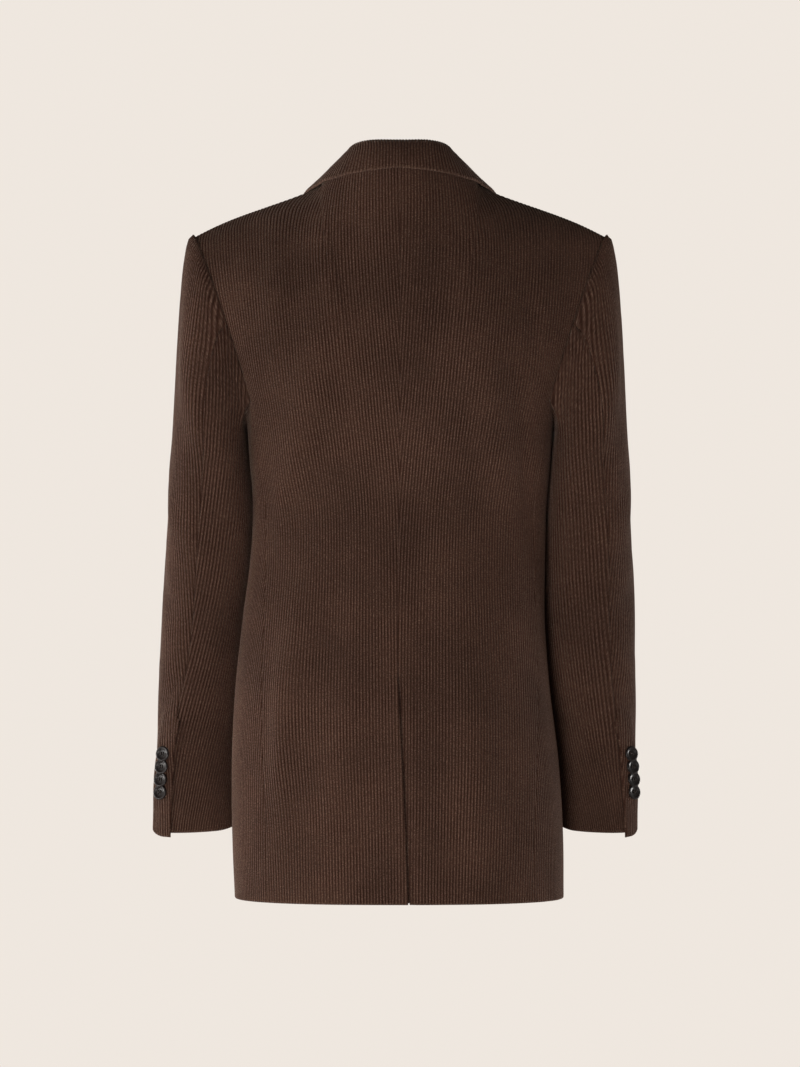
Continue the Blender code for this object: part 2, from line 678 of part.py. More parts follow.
def neckline(share):
    """The body's edge under the collar, and the way outwards from the neck, on the wearer's left."""
    on_back = back(LEFT, NECK_SHARE * np.clip(share / COLLAR_SHOULDER, 0, 1), np.full(share.shape, 2.0))
    ahead = np.clip((share - COLLAR_SHOULDER) / (1 - COLLAR_SHOULDER), 0, 1)
    on_front = front(LEFT, np.ones(share.shape), 2 - COLLAR_DOWN * ahead)
    return np.where((share < COLLAR_SHOULDER)[..., None], on_back, on_front)


def collar(share, cell):
    """The collar's seen face: up the inside of the stand (0 to 1), over the roll (to 2), down the fall (to 3)."""
    edge, crest = triple(COLLAR, "edge_x edge_y edge_z", share), triple(COLLAR, "crest_x crest_y crest_z", share)
    base = neckline(share)
    outward = unit((base - points(0, NECK_CENTRE, 0)) * (1, 1, 0))
    foot = base - outward * STAND_INSET - points(0, 0, STAND_SEAM)
    middle = crest - points(0, 0, COLLAR_ROLL)
    outward = unit((edge - foot) * (1, 1, 0))
    sideways = np.cross(outward, points(0, 0, 1))

    def plane(place):
        """A place's run and rise in the section, from the middle of the roll."""
        away = place - middle
        return np.sum(away * outward, -1), away[..., 2], np.sum(away * sideways, -1)

    def touch(run, rise, turn):
        """The angle at which a straight line from a place meets the roll."""
        return np.arctan2(rise, run) + turn * np.arccos(COLLAR_ROLL / np.hypot(run, rise))

    foot_run, foot_rise, foot_aside = plane(foot)
    edge_run, edge_rise, edge_aside = plane(edge)
    start = touch(foot_run, foot_rise, -1) % (2 * math.pi)
    end = touch(edge_run, edge_rise, 1)
    turn = start + (end - start) * np.clip(cell - 1, 0, 1)
    run, rise = COLLAR_ROLL * np.cos(turn), COLLAR_ROLL * np.sin(turn)
    below = np.clip(1 - cell, 0, 1)
    beyond = np.clip(cell - 2, 0, 1)
    crown = COLLAR_CROWN * np.sin(math.pi * beyond)
    run = run + (foot_run - run) * below + (edge_run - run) * beyond + crown * np.cos(turn)
    rise = rise + (foot_rise - rise) * below + (edge_rise - rise) * beyond + crown * np.sin(turn)
    aside = foot_aside * below + edge_aside * beyond
    tip = ease((share - 0.8) / 0.2) * ease((beyond - 0.45) / 0.55)
    section = outward * run[..., None] + sideways * aside[..., None] + points(0, 0, 1) * rise[..., None]
    return middle + section + points(*COLLAR_TIP) * tip[..., None]


def make_collar(finish):
    """The collar, from the wearer's left to the right."""
    cells = [np.linspace(0, 1, STAND_CELLS + 1), 1 + np.linspace(0, 1, ROLL_CELLS + 1)[1:],
             2 + np.linspace(0, 1, FALL_CELLS + 1)[1:]]
    share, cell = grid(np.linspace(1, 0, COLLAR_CELLS // 2 + 1), np.concatenate(cells))
    step = 1e-3
    face = collar(share, cell)
    rows = collar(share, np.minimum(cell + step, 3)) - collar(share, np.maximum(cell - step, 0))
    columns = collar(np.maximum(share - step, 0), cell) - collar(np.minimum(share + step, 1), cell)
    out = unit(np.cross(rows, columns))
    out[:, -1] = unit(out[:, -1] * (0, 1, 1))
    face = np.concatenate([face, face[:, -2::-1] * (-1, 1, 1)], 1)
    out = np.concatenate([out, out[:, -2::-1] * (-1, 1, 1)], 1)
    wall("collar", face, out, finish)


# ---- The buttons ----

def button_mesh(name, radius, depth, steps, finish):
    """A turned button with a raised rim round a sunk face."""
    profile = (
        (0.0, depth - 0.9), (0.60 * radius, depth - 0.9), (0.72 * radius, depth), (0.90 * radius, depth),
        (radius, depth - 0.8), (radius, 1.0), (0.84 * radius, 0.0), (0.0, 0.0),
    )
    mesh = bpy.data.meshes.new(name)
    corners = [(x * MM, 0, z * MM) for x, z in profile]
    mesh.from_pydata(corners, [(k, k + 1) for k in range(len(corners) - 1)], [])
    mesh.materials.append(finish)
    return mesh, steps


def add_button(name, turned, place, axis):
    """A button whose back stands on a place, facing along an axis."""
    mesh, steps = turned
    piece = bpy.data.objects.new(name, mesh)
    piece.location = Vector(place) * MM
    piece.rotation_euler = Vector(axis).to_track_quat("Z", "Y").to_euler()
    screw = piece.modifiers.new("Turned", "SCREW")
    screw.steps = screw.render_steps = steps
    screw.use_merge_vertices = True
    screw.merge_threshold = 1e-5
    screw.use_smooth_shade = True
    bpy.data.collections[COLLECTION].objects.link(piece)


def make_cuff_buttons(side, face, out, turned):
    """The buttons beside the lapping edge of one cuff, each over the edge of the one below it."""
    to_edge = np.cumsum(np.linalg.norm(np.diff(face[:, ::-1], axis=1), axis=2), axis=1)
    column = np.array([np.interp(CUFF_BUTTON_INSET, row, np.arange(1, len(row) + 1)) for row in to_edge])
    before = column.astype(int)
    part = (column - before)[:, None]
    rows = np.arange(len(face))
    line = face[:, ::-1][rows, before] * (1 - part) + face[:, ::-1][rows, before + 1] * part
    square = out[:, ::-1][rows, before] + out[:, -1]
    tilt = math.radians(CUFF_BUTTON_TILT)
    for number in range(CUFF_BUTTONS):
        height = CUFF_BUTTON_TOP - CUFF_BUTTON_SPACING * number
        place, axis = (
            np.array([np.interp(-height, -line[:, 2], chart[:, k]) for k in range(3)]) for chart in (line, square)
        )
        axis = unit(axis)
        up = unit(np.array((0, 0, 1)) - axis * axis[2])
        place = place + axis * (CUFF_BUTTON_RADIUS * math.sin(tilt) + CUFF_BUTTON_GAP)
        axis = axis * math.cos(tilt) + up * math.sin(tilt)
        mirror = (side.sign, 1, 1)
        add_button(f"cuff_button_{side.name}_{number + 1}", turned, place * mirror, axis * mirror)


def make_front_buttons(turned):
    """The buttons on the wearer's right front."""
    for number, height in enumerate(FRONT_BUTTON_HEIGHTS):
        up = np.array([(height - HEM) / (CHEST - HEM)])
        across = np.array([1 - OVERLAP / (OVERLAP + read(BODY, "side_front_x", height))])
        place = front(RIGHT, across, up)[0]
        axis = normals(front, RIGHT, across, up)[0]
        place = (place + axis * BUTTON_GAP) * (-1, 1, 1)
        add_button(f"front_button_{number + 1}", turned, place, axis * (-1, 1, 1))


def main():
    """Make the jacket."""
    for old in list(bpy.data.objects):
        bpy.data.objects.remove(old)
    bpy.context.scene.collection.children.link(bpy.data.collections.new(COLLECTION))
    cord = material("corduroy", (0.045, 0.022, 0.014), 0.9)
    horn = material("horn", (0.022, 0.017, 0.014), 0.35)
    cuff_button = button_mesh("cuff_button", CUFF_BUTTON_RADIUS, CUFF_BUTTON_DEPTH, 16, horn)
    front_button = button_mesh("front_button", FRONT_BUTTON_RADIUS, FRONT_BUTTON_DEPTH, 20, horn)
    for side in (LEFT, RIGHT):
        make_back(side, cord)
        make_side(side, cord)
        make_front(side, cord)
        make_lapel(side, cord)
        face, out = make_sleeve(side, cord)
        make_cuff_buttons(side, face, out, cuff_button)
    make_collar(cord)
    make_front_buttons(front_button)


main()
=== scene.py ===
"""A dark brown corduroy blazer, filled out as if worn, seen from behind.

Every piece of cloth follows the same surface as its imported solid, worked out in millimetres from the same
sizes, and carries its wales as real ridges. +Z is up, the wearer's left is +X and the back faces +Y. Paired
pieces are worked out with +X as the outward side, and those of the wearer's right are mirrored.
"""
import math

import bmesh
import bpy
import numpy as np
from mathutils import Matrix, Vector


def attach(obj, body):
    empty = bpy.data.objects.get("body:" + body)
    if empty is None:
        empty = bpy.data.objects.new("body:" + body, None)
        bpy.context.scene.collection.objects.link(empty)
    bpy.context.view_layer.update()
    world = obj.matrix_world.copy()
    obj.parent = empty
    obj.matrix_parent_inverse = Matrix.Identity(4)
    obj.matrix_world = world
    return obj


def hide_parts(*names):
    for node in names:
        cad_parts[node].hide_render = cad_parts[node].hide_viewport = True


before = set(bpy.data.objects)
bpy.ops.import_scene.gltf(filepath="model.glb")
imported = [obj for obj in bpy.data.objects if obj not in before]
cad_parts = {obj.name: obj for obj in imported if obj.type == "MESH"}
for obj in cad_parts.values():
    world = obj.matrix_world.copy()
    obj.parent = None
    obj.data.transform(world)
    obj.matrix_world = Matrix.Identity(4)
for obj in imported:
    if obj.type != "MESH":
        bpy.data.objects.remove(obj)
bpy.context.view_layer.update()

MM = 0.001

# The cloth
CLOTH = 2.0             # thickness of the wall
SEAM_GAP = -0.1         # the backs meet, and overlap by a hair, at the centre seam
STEP = 1e-3             # of a surface's own coordinates, from which its slope is taken

# Heights of the body's main lines
HEM = -660.0
CHEST = -165.0          # the side seams end here, at the armhole's two lower corners
BREAK = -240.0          # the lapels turn back above this
UNDERARM_DIP = 23.0     # how far the side panel's top edge sags under the arm

# The neck and the shoulders
NECK_HALF = 75.0
NECK_DEPTH = 60.0
NECK_SIDE_HEIGHT = 51.0     # of the shoulder seam's straight line
NECK_RISE = 5.0         # the seam curves up from it at the neck
NECK_RISE_BEND = 16     # and does so the closer to the neck, the larger this is
NECK_BACK_HEIGHT = 72.0
SHOULDER_HALF = 205.0
SHOULDER_CROWN = 2.8    # the shoulder seam's rise above a straight line
NECK_SHARE = 0.36       # the neckline's share of the back's top edge

# The centre back and its vent, whose left side laps the right
VENT_TOP = -431.0
UNDERLAP = 35.0         # how far the right back reaches under the left

# The front edges
OVERLAP = 18.0
ROLL_SLOPE = 0.305      # the roll line's run in x for its rise in z
FRONT_CORNER = 34.0     # radius of the hem's front corners
RIGHT_LIFT = 7.0        # the right front passes this far outside the left one
LIFT_NEAR = 25.0        # it does so in full up to this far past the centre
LIFT_FAR = 75.0         # and not at all past here

# The collar and lapels
LAPEL_CLEAR = 1.0       # between a lapel's edge and the front
NECK_CENTRE = -5.0      # y of the middle of the neck
STAND_INSET = 5.0       # the stand's seen face lies this far inside the neckline
STAND_SEAM = 1.5        # its foot is this far below the neckline
COLLAR_SHOULDER = 0.62  # where the collar passes the shoulder seam
COLLAR_DOWN = 0.262     # how far down the front edge it reaches
COLLAR_ROLL = 4.2       # the roll's outer radius
COLLAR_CROWN = 1.5      # the fall's bulge
COLLAR_TIP = (5, 15, 19)    # how far the tip of its end turns up out of the gorge,
TIP_SHARE = 0.8, 0.2        # where along the collar it begins to, and over what share,
TIP_FALL = 0.45, 0.55       # and where down the fall

# How the cloth leaves its seams
CHEST_LEAD = 0.3        # share of the rise from the chest line over which the back keeps its lower slope
BLADE_SPREAD = 8.0      # how much wider it gets there at the armhole
CORNER_RISE = 0.8       # height of the hem's front corners, as a share of their radius
FOLD_END = 0.55         # a fold's height at its ends, as a share of its height in the middle
LIFT_END = 1.5          # the right front lies flush above this place, up from the hem (0) by the chest (1)
LIFT_EASE = 0.4         # and comes down to it over this much
FOLD_SIDE_FADE = 20.0   # the back's folds fade out over this width at its sides,
FOLD_TOP = 55.0         # and below this height
FOLD_TOP_FADE = 60.0    # over this length

# The solids' grids, on which the armhole and the sleeves are divided
UPPER_ROWS = 10         # from the chest line to the shoulder
SIDE_CELLS = 5          # across a side panel
HEAD_ROWS = 8           # from the armhole to the tube of the sleeve
SLEEVE_ROWS = 13        # from there to the cuff
FINE = 6                # cells of the dense grids here in one of these

# The sleeves
SLEEVE_TOP = -215.0     # the sleeve is a tube of its own below this
CUFF = -585.0
CUFF_RISE = 12.0        # the cuff's edge is higher at the front than at the back
CUFF_LOW_ANGLE = 88.0   # where the cuff hangs lowest
SLEEVE_SQUARE = 2.6     # how far its oval is filled out at the corners
UNDERARM_ANGLES = (124.0, 238.0)    # where the armhole's two lower corners lead down
HIND_SEAM_ROW = 4       # the armhole point of the hind-arm seam, in rows above the chest line
FORE_SEAM_ROW = 1       # and that of the fore-arm seam
VENT_HEIGHT = 112.0     # of the cuff's vent
VENT_EASE = 26.0        # the length over which the lapping edge lifts above it
CUFF_LAP = 8.0          # how far the upper sleeve laps the under sleeve there
CUFF_LAP_FADE = 8.0     # the lap narrows to nothing over this length above the vent
CUFF_LAP_CELLS = 8
CUFF_LIFT = 3.1         # how far outside the under sleeve it lies
CUFF_LIFT_REACH = 30.0  # the lift fades out this far from the lapping edge
CUFF_LIFT_FULL = 14.0   # and is whole this near to it
CUFF_TAB = 4.0          # the lapping corner hangs this much lower,
CUFF_TAB_WIDTH = 30.0   # over this width
CUFF_TAB_HEIGHT = 40.0  # and this height
HEAD_CROWD = 1.25       # how much closer the sleeve head's rows are at the armhole

# The wales
PITCH = 3.1             # about eight wales to the inch
RIDGE = 0.9             # from valley to crest
SUNK = 0.3              # how far the valleys lie under the wall's face
ROUND = 2.6             # how flat-topped a wale is
RIDGE_STEPS = (0.0, 0.13, 0.34, 0.66, 0.87)     # the places across a wale that have points
ROW = 7.0               # length of a cell along the wales
END_ROWS = (0.0, 0.35, 0.9, 1.7, 3.0)           # closer rows at a piece's ends
WANDER = 0.05           # how far a wale's height wanders, as a share of it
WANDER_LENGTH = 9       # along the wale for each radian
WANDER_TURNS = 1.7, 2.3     # radians from wale to wale: of how far, and of where along them
ROLL = 1.5              # how far from its edge the cloth begins to turn in
SEAM_DROP = 0.9         # how deep it turns in at a seam
EDGE_DROP = 1.35        # and at a free edge
WEAR_AND_HIGHLIGHT_REACH = 2.6        # how far from a free edge the pile is painted paler: worn pile, and a painted highlight on the rolled edge
LEAN_GRID = (34, 18)    # rows and columns of the grid on which the wales' run is settled
EVEN_SHARE = 0.4        # how much an even pitch counts there against the lean
EDGE_SHARE = 0.05       # and the grid's single edges against its cells
LEAST_TRUST = 0.05      # and a place where the cloth lies flat, so that no way is up
CLOTH_SHARP = 75        # degrees between two faces that meet at an edge that isn't shaded smooth


def table(columns, *rows):
    """A table whose columns are read by name, with rising values in its first one."""
    names = columns.split()
    values = np.array(rows, float).T
    return {"key": values[0], **dict(zip(names, values))}


BODY = table(
    "height half_left half_right back front square side_back_x side_front_x",
    (-660, 164.5, 163.0, 122, 138, 2.50, 130.0, 126),
    (-600, 167.0, 162.5, 122, 137, 2.50, 131.5, 126),
    (-520, 167.5, 157.5, 121, 134, 2.50, 135.0, 128),
    (-450, 164.0, 149.0, 116, 130, 2.50, 136.0, 128),
    (-380, 156.5, 144.0, 104, 126, 2.45, 134.0, 127),
    (-320, 149.0, 144.5, 92, 124, 2.40, 132.5, 127),
    (-268, 146.5, 146.0, 86, 126, 2.40, 133.5, 128),
    (-220, 150.0, 150.0, 91, 133, 2.70, 140.0, 136),
    (-165, 153.5, 153.5, 99, 136, 3.00, 148.0, 146),
)

CENTRE_BACK = table(      # the line of the centre seam and of the left back's edge below it
    "height x",
    (-660, -8),
    (-550, -3.5),
    (-431, 2),
    (-300, 1),
    (-165, 0),
)

BACK_LEADS = table(       # from the back's top edge to the handle that leads down from it
    "across x y z",
    (0.00, 0, 16, -46),
    (0.18, 7, 26, -46),
    (0.28, 12, 49, -36),
    (0.36, 14, 74, -22),
    (0.45, 10, 68, -20),
    (0.60, 4, 54, -14),
    (0.80, -4, 44, -12),
    (1.00, -9, 38, -14),
)

FRONT_LEADS = table(      # handles up from the chest line and down from the shoulder, to the front edge
    "across chest_x chest_y chest_z top_x top_y top_z",
    (0.0, 7, 10, 58, -14, -44, -16),
    (0.5, 10, 4, 66, -14, -54, -16),
    (1.0, 23, 0, 78, -13, -48, -31),
)

SLEEVE = table(
    "height outer_left outer_right inner_left inner_right hind_left hind_right centre_y half_depth",
    (-592, 249.0, 237.4, 163.9, 159.1, 235.5, 229.5, -58, 45),
    (-540, 246.4, 237.4, 164.9, 156.5, 232.5, 226.5, -56, 47),
    (-500, 244.4, 237.4, 164.7, 153.1, 228, 222, -53, 49),
    (-460, 243.3, 237.3, 163.1, 148.5, 219.5, 215.5, -50, 52),
    (-420, 241.3, 236.2, 160.1, 145.3, 211.5, 211.5, -46, 55),
    (-380, 239.2, 236.1, 155.9, 143.4, 206.5, 210, -42, 58),
    (-340, 237.1, 235.0, 151.0, 143.9, 203.5, 208.5, -38, 61),
    (-300, 234.0, 232.0, 147.8, 145.2, 200.5, 207, -33, 64),
    (-260, 230.8, 229.8, 147.5, 147.3, 198, 205.5, -28, 66),
    (-215, 228.5, 228.0, 151.5, 151.5, 195, 202, -20, 68),
)

SLEEVE_HEAD = table(      # by angle from the arm's outside: the lead out of the armhole, and up from the tube
    "angle out_x out_y out_z up",
    (0, 12, 0, 20, 122),
    (45, 12, 9, 11, 100),
    (90, 9, 5, 0, 60),
    (135, 8, -2, -4, 28),
    (180, 4, 0, -5, 10),
    (225, 8, 2, -4, 28),
    (270, 9, -8, 0, 60),
    (315, 12, -9, 11, 100),
    (360, 12, 0, 20, 122),
)

COLLAR = table(           # from the centre back to the front end: the roll's crest, and the fall's edge
    "share crest_x crest_y crest_z edge_x edge_y edge_z",
    (0.00, 0, 51, 94, 0, 66.5, 66),
    (0.20, 30, 46, 93.8, 31, 61.5, 63),
    (0.42, 50, 27, 88, 63.8, 42.8, 57.5),
    (0.62, 58, -2, 73, 91, 4, 49.3),
    (0.82, 63, -27, 47, 107, -31, 22),
    (1.00, 62, -48, 23, 111, -62, -12),
)

LAPEL = table(            # from the break to the gorge: place up the front edge, width, slant and roll radius
    "share up width slant radius",
    (0.00, 0.845, 0.035, 0.000, 3.0),
    (0.25, 1.060, 0.170, 0.005, 3.1),
    (0.50, 1.270, 0.320, 0.020, 4.0),
    (0.75, 1.500, 0.450, 0.055, 4.4),
    (0.90, 1.640, 0.525, 0.085, 4.4),
    (1.00, 1.733, 0.560, 0.110, 4.4),
)

FOLDS = table(            # soft ridges, or troughs where the height is negative, in the back
    "x0 z0 x1 z1 width height",
    (80, -105, 106, -235, 21, 6.0),
    (106, -225, 133, -300, 18, 5.0),
    (101, -385, 133, -575, 19, 6.5),
    (30, -345, 69, -600, 22, 6.0),
    (2, -330, -19, -620, 19, 3.2),
    (-114, -150, -136, -290, 15, -5.0),
    (-92, -140, -118, -300, 20, 4.5),
    (123, -15, 124, -105, 15, 3.0),
    (-128, -62, -138, -95, 16, -4.0),
    (-152, -35, -156, -70, 12, 2.4),
    (-60, -400, -82, -600, 24, 5.0),
)

SLEEVE_FOLDS = table(     # the same in the sleeves, by angle round the arm and height
    "angle0 z0 angle1 z1 width height",
    (62, -20, 78, -120, 11, -3.0),
    (30, -60, 86, -205, 15, 3.2),
    (48, -150, 100, -290, 15, -3.0),
    (25, -240, 88, -330, 16, 3.2),
    (20, -335, 75, -395, 14, -2.6),
    (78, -430, 20, -505, 12, -3.0),
    (84, -480, 30, -550, 14, 2.6),
    (250, -70, 282, -200, 14, 3.0),
    (255, -330, 320, -375, 14, -3.0),
    (250, -380, 330, -420, 14, 3.0),
)


def read(chart, column, place):
    """A column of a table at any place along its first one, on a smooth curve through the rows."""
    keys, values = chart["key"], chart[column]
    slopes = np.gradient(values, keys)
    row = np.clip(np.searchsorted(keys, place) - 1, 0, len(keys) - 2)
    span = keys[row + 1] - keys[row]
    t = np.clip((place - keys[row]) / span, 0, 1)
    start = values[row] * (1 + 2 * t) * (1 - t) ** 2 + values[row + 1] * t**2 * (3 - 2 * t)
    return start + span * t * (1 - t) * (slopes[row] * (1 - t) - slopes[row + 1] * t)


def several(chart, names, place):
    """Some columns of a table side by side, such as three for a point."""
    return np.stack([read(chart, name, place) for name in names.split()], -1)


def ease(t):
    """0 to 1, level at both ends."""
    t = np.clip(t, 0, 1)
    return t * t * (3 - 2 * t)


def unit(vectors):
    """Vectors at length 1."""
    return vectors / np.linalg.norm(vectors, axis=-1, keepdims=True)


def points(x, y, z):
    """Coordinates as points."""
    return np.stack(np.broadcast_arrays(x, y, z), -1)


def bezier(p0, p1, p2, p3, t):
    """Points on cubic Bezier curves."""
    t = np.asarray(t)[..., None]
    return p0 * (1 - t) ** 3 + 3 * p1 * t * (1 - t) ** 2 + 3 * p2 * t**2 * (1 - t) + p3 * t**3


def oval(angle, half_x, half_y, square):
    """The reach of an oval with filled-out corners, at an angle from its y axis."""
    turn = np.radians(angle)
    over_x, over_y = np.abs(np.sin(turn)) / half_x, np.abs(np.cos(turn)) / half_y
    return (over_x**square + over_y**square) ** (-1 / square)


class Side:
    """The wearer's left or right, whose widths differ a little."""

    def __init__(self, name, sign):
        self.name = name
        self.sign = sign
        self.half = "half_" + name
        self.outer = "outer_" + name
        self.inner = "inner_" + name
        self.hind = "hind_" + name


LEFT = Side("left", 1)
RIGHT = Side("right", -1)


# ---- The body: rings round the trunk, and curves from the chest line up to the neckline and shoulders ----

def trunk(side, angle, height):
    """The body's outer face, at an angle from the centre back."""
    depth = np.where(np.cos(np.radians(angle)) >= 0, read(BODY, "back", height), read(BODY, "front", height))
    reach = oval(angle, read(BODY, side.half, height), depth, read(BODY, "square", height))
    return points(reach * np.sin(np.radians(angle)), reach * np.cos(np.radians(angle)), height)


def trunk_angle(side, x, height, face):
    """The angle at which the body's back or front face is x from the centre."""
    square = read(BODY, "square", height)
    share = np.abs(x) / read(BODY, side.half, height)
    y = read(BODY, face, height) * (1 - share**square) ** (1 / square)
    return np.degrees(np.arctan2(x, y if face == "back" else -y)) % 360


def centre_back(side, height):
    """The x of a side's back at the centre seam and, below it, of the line of the vent's edge."""
    return side.sign * read(CENTRE_BACK, "x", height) + SEAM_GAP / 2


def front_edge(height):
    """The x of the front edge, and of the roll line above the break."""
    return -OVERLAP + ROLL_SLOPE * np.maximum(height - BREAK, 0)


def shoulder(share):
    """The shoulder seam from the neck to the sleeve."""
    x = NECK_HALF + (SHOULDER_HALF - NECK_HALF) * share
    z = NECK_SIDE_HEIGHT * (1 - share) + SHOULDER_CROWN * np.sin(math.pi * share**2)
    return points(x, 0, z + NECK_RISE * (1 - share) ** NECK_RISE_BEND)


def back_top(across):
    """The back's top edge: the neckline, then the shoulder."""
    turn = np.clip(across / NECK_SHARE, 0, 1) * math.pi / 2
    low = NECK_SIDE_HEIGHT + NECK_RISE
    rise = low + (NECK_BACK_HEIGHT - low) * np.cos(turn)
    neck = points(NECK_HALF * np.sin(turn), NECK_DEPTH * np.cos(turn), rise)
    along = shoulder(np.clip((across - NECK_SHARE) / (1 - NECK_SHARE), 0, 1))
    return np.where((across < NECK_SHARE)[..., None], neck, along)


def back(side, across, up):
    """The back's outer face: across from the centre to the side, up from the hem by the chest (1) to 2."""
    height = HEM + (CHEST - HEM) * np.minimum(up, 1)
    inner = (trunk_angle(side, centre_back(side, height), height, "back") + 180) % 360 - 180
    outer = trunk_angle(side, read(BODY, "side_back_x", height), height, "back")
    angle = inner + (outer - inner) * across
    base = trunk(side, angle, height)
    top = back_top(across)
    rise = CHEST_LEAD * (top[..., 2:] - CHEST)
    lead = base + (base - trunk(side, angle, height - 1)) * rise + points(BLADE_SPREAD * across**2, 0, 0)
    raised = bezier(base, lead, top + several(BACK_LEADS, "x y z", across), top, np.clip(up - 1, 0, 1))
    return np.where((up > 1)[..., None], raised, base)


def side_panel(side, across, up):
    """The side panel's outer face, from the side-back seam to the side-front seam and from hem to arm."""
    top = CHEST - UNDERARM_DIP * np.sin(math.pi * across)
    height = HEM + (top - HEM) * up
    inner = trunk_angle(side, read(BODY, "side_back_x", height), height, "back")
    outer = trunk_angle(side, read(BODY, "side_front_x", height), height, "front")
    return trunk(side, inner + (outer - inner) * across, height)


def front(side, across, up):
    """The front's outer face: across from the side to the front edge, up as on the back."""
    width = read(BODY, "side_front_x", HEM) + OVERLAP
    from_corner = np.clip(1 - (1 - across) * width / FRONT_CORNER, 0, 1)
    hem = HEM + FRONT_CORNER * (1 - np.sqrt(1 - from_corner**2)) * CORNER_RISE
    height = hem + (CHEST - hem) * np.minimum(up, 1)
    inner = trunk_angle(side, read(BODY, "side_front_x", height), height, "front")
    outer = trunk_angle(side, front_edge(height), height, "front")
    base = trunk(side, inner + (outer - inner) * across, height)
    top = shoulder(1 - across)
    lead = base + several(FRONT_LEADS, "chest_x chest_y chest_z", across)
    follow = top + several(FRONT_LEADS, "top_x top_y top_z", across)
    raised = bezier(base, lead, follow, top, np.clip(up - 1, 0, 1))
    face = np.where((up > 1)[..., None], raised, base)
    if side is RIGHT:
        near = ease((LIFT_FAR - face[..., 0]) / (LIFT_FAR - LIFT_NEAR)) * ease((LIFT_END - up) / LIFT_EASE)
        face = face - points(0, RIGHT_LIFT * near, 0)
    return face


def normals(face, side, across, up):
    """Unit vectors square to a piece's outer face."""
    top = 2.0 if face is not side_panel else 1.0
    columns = face(side, np.minimum(across + STEP, 1), up) - face(side, np.maximum(across - STEP, 0), up)
    rows = face(side, across, np.minimum(up + STEP, top)) - face(side, across, np.maximum(up - STEP, 0))
    return unit(np.cross(rows, columns))


def relief(chart, first, second):
    """The height of a table's folds at two coordinates."""
    total = np.zeros(np.shape(first))
    names = list(chart)[1:]
    for a0, b0, a1, b1, width, height in zip(*(chart[name] for name in names)):
        run = np.array([a1 - a0, b1 - b0])
        length = np.hypot(*run)
        along = ((first - a0) * run[0] + (second - b0) * run[1]) / length**2
        aside = ((first - a0) * run[1] - (second - b0) * run[0]) / length
        beyond = np.maximum(np.abs(along - 0.5) - 0.5, 0) * length
        middle = FOLD_END + (1 - FOLD_END) * np.sin(math.pi * np.clip(along, 0, 1))
        total += height * middle * np.exp(-((aside / width) ** 2) - (beyond / (2 * width)) ** 2)
    return total


def back_folds(side, place):
    """The folds' height on the back, which fades out at the shoulder and at the side-back seam."""
    height = relief(FOLDS, side.sign * place[..., 0], place[..., 2])
    at_side = ease((read(BODY, "side_back_x", place[..., 2]) - place[..., 0]) / FOLD_SIDE_FADE)
    return height * at_side * ease((FOLD_TOP - place[..., 2]) / FOLD_TOP_FADE)


def sleeve_ring(side, angle, height):
    """The sleeve's outer face below the armhole, at an angle from the outside of the arm."""
    outer, inner = read(SLEEVE, side.outer, height), read(SLEEVE, side.inner, height)
    half_depth = read(SLEEVE, "half_depth", height)
    reach = oval(90 - angle, (outer - inner) / 2, half_depth, SLEEVE_SQUARE)
    turn = np.radians(angle)
    x = (outer + inner) / 2 + reach * np.cos(turn)
    return points(x, read(SLEEVE, "centre_y", height) + reach * np.sin(turn), height)


def hind_angle(side, height):
    """The hind-arm seam's angle round the sleeve."""
    outer, inner = read(SLEEVE, side.outer, height), read(SLEEVE, side.inner, height)
    share = (2 * read(SLEEVE, side.hind, height) - outer - inner) / (outer - inner)
    y = read(SLEEVE, "half_depth", height) * (1 - np.abs(share) ** SLEEVE_SQUARE) ** (1 / SLEEVE_SQUARE)
    return np.degrees(np.arctan2(y, share * (outer - inner) / 2))


def lapel(side, cell, share):
    """A lapel's seen face and its normals: cell runs from the outer edge (0) by the roll (1) round it (2)."""
    width, slant = read(LAPEL, "width", share), read(LAPEL, "slant", share)
    radius = read(LAPEL, "radius", share)[..., None]
    reach = np.clip(1 - cell, 0, 1)
    across, up = 1 - width * reach, read(LAPEL, "up", share) - slant * reach
    panel, out = front(side, across, up), normals(front, side, across, up)
    level = ease(reach)[..., None]
    crest = 2 * radius - CLOTH
    leaf = panel + out * (crest * (1 - level) + (CLOTH + LAPEL_CLEAR) * level)
    upward = unit(front(side, across, up + STEP) - front(side, across, up - STEP))
    onto = np.cross(upward, out)
    turn = (math.pi * np.clip(cell - 1, 0, 1))[..., None]
    radial = np.cos(turn) * out - np.sin(turn) * onto
    rolled = panel + out * (radius - CLOTH) + radial * radius
    bent = (cell > 1)[..., None]
    return np.where(bent, rolled, leaf), np.where(bent, radial, out)


def neckline(share):
    """The body's edge under the collar, on the wearer's left."""
    on_back = back(LEFT, NECK_SHARE * np.clip(share / COLLAR_SHOULDER, 0, 1), np.full(share.shape, 2.0))
    ahead = np.clip((share - COLLAR_SHOULDER) / (1 - COLLAR_SHOULDER), 0, 1)
    on_front = front(LEFT, np.ones(share.shape), 2 - COLLAR_DOWN * ahead)
    return np.where((share < COLLAR_SHOULDER)[..., None], on_back, on_front)


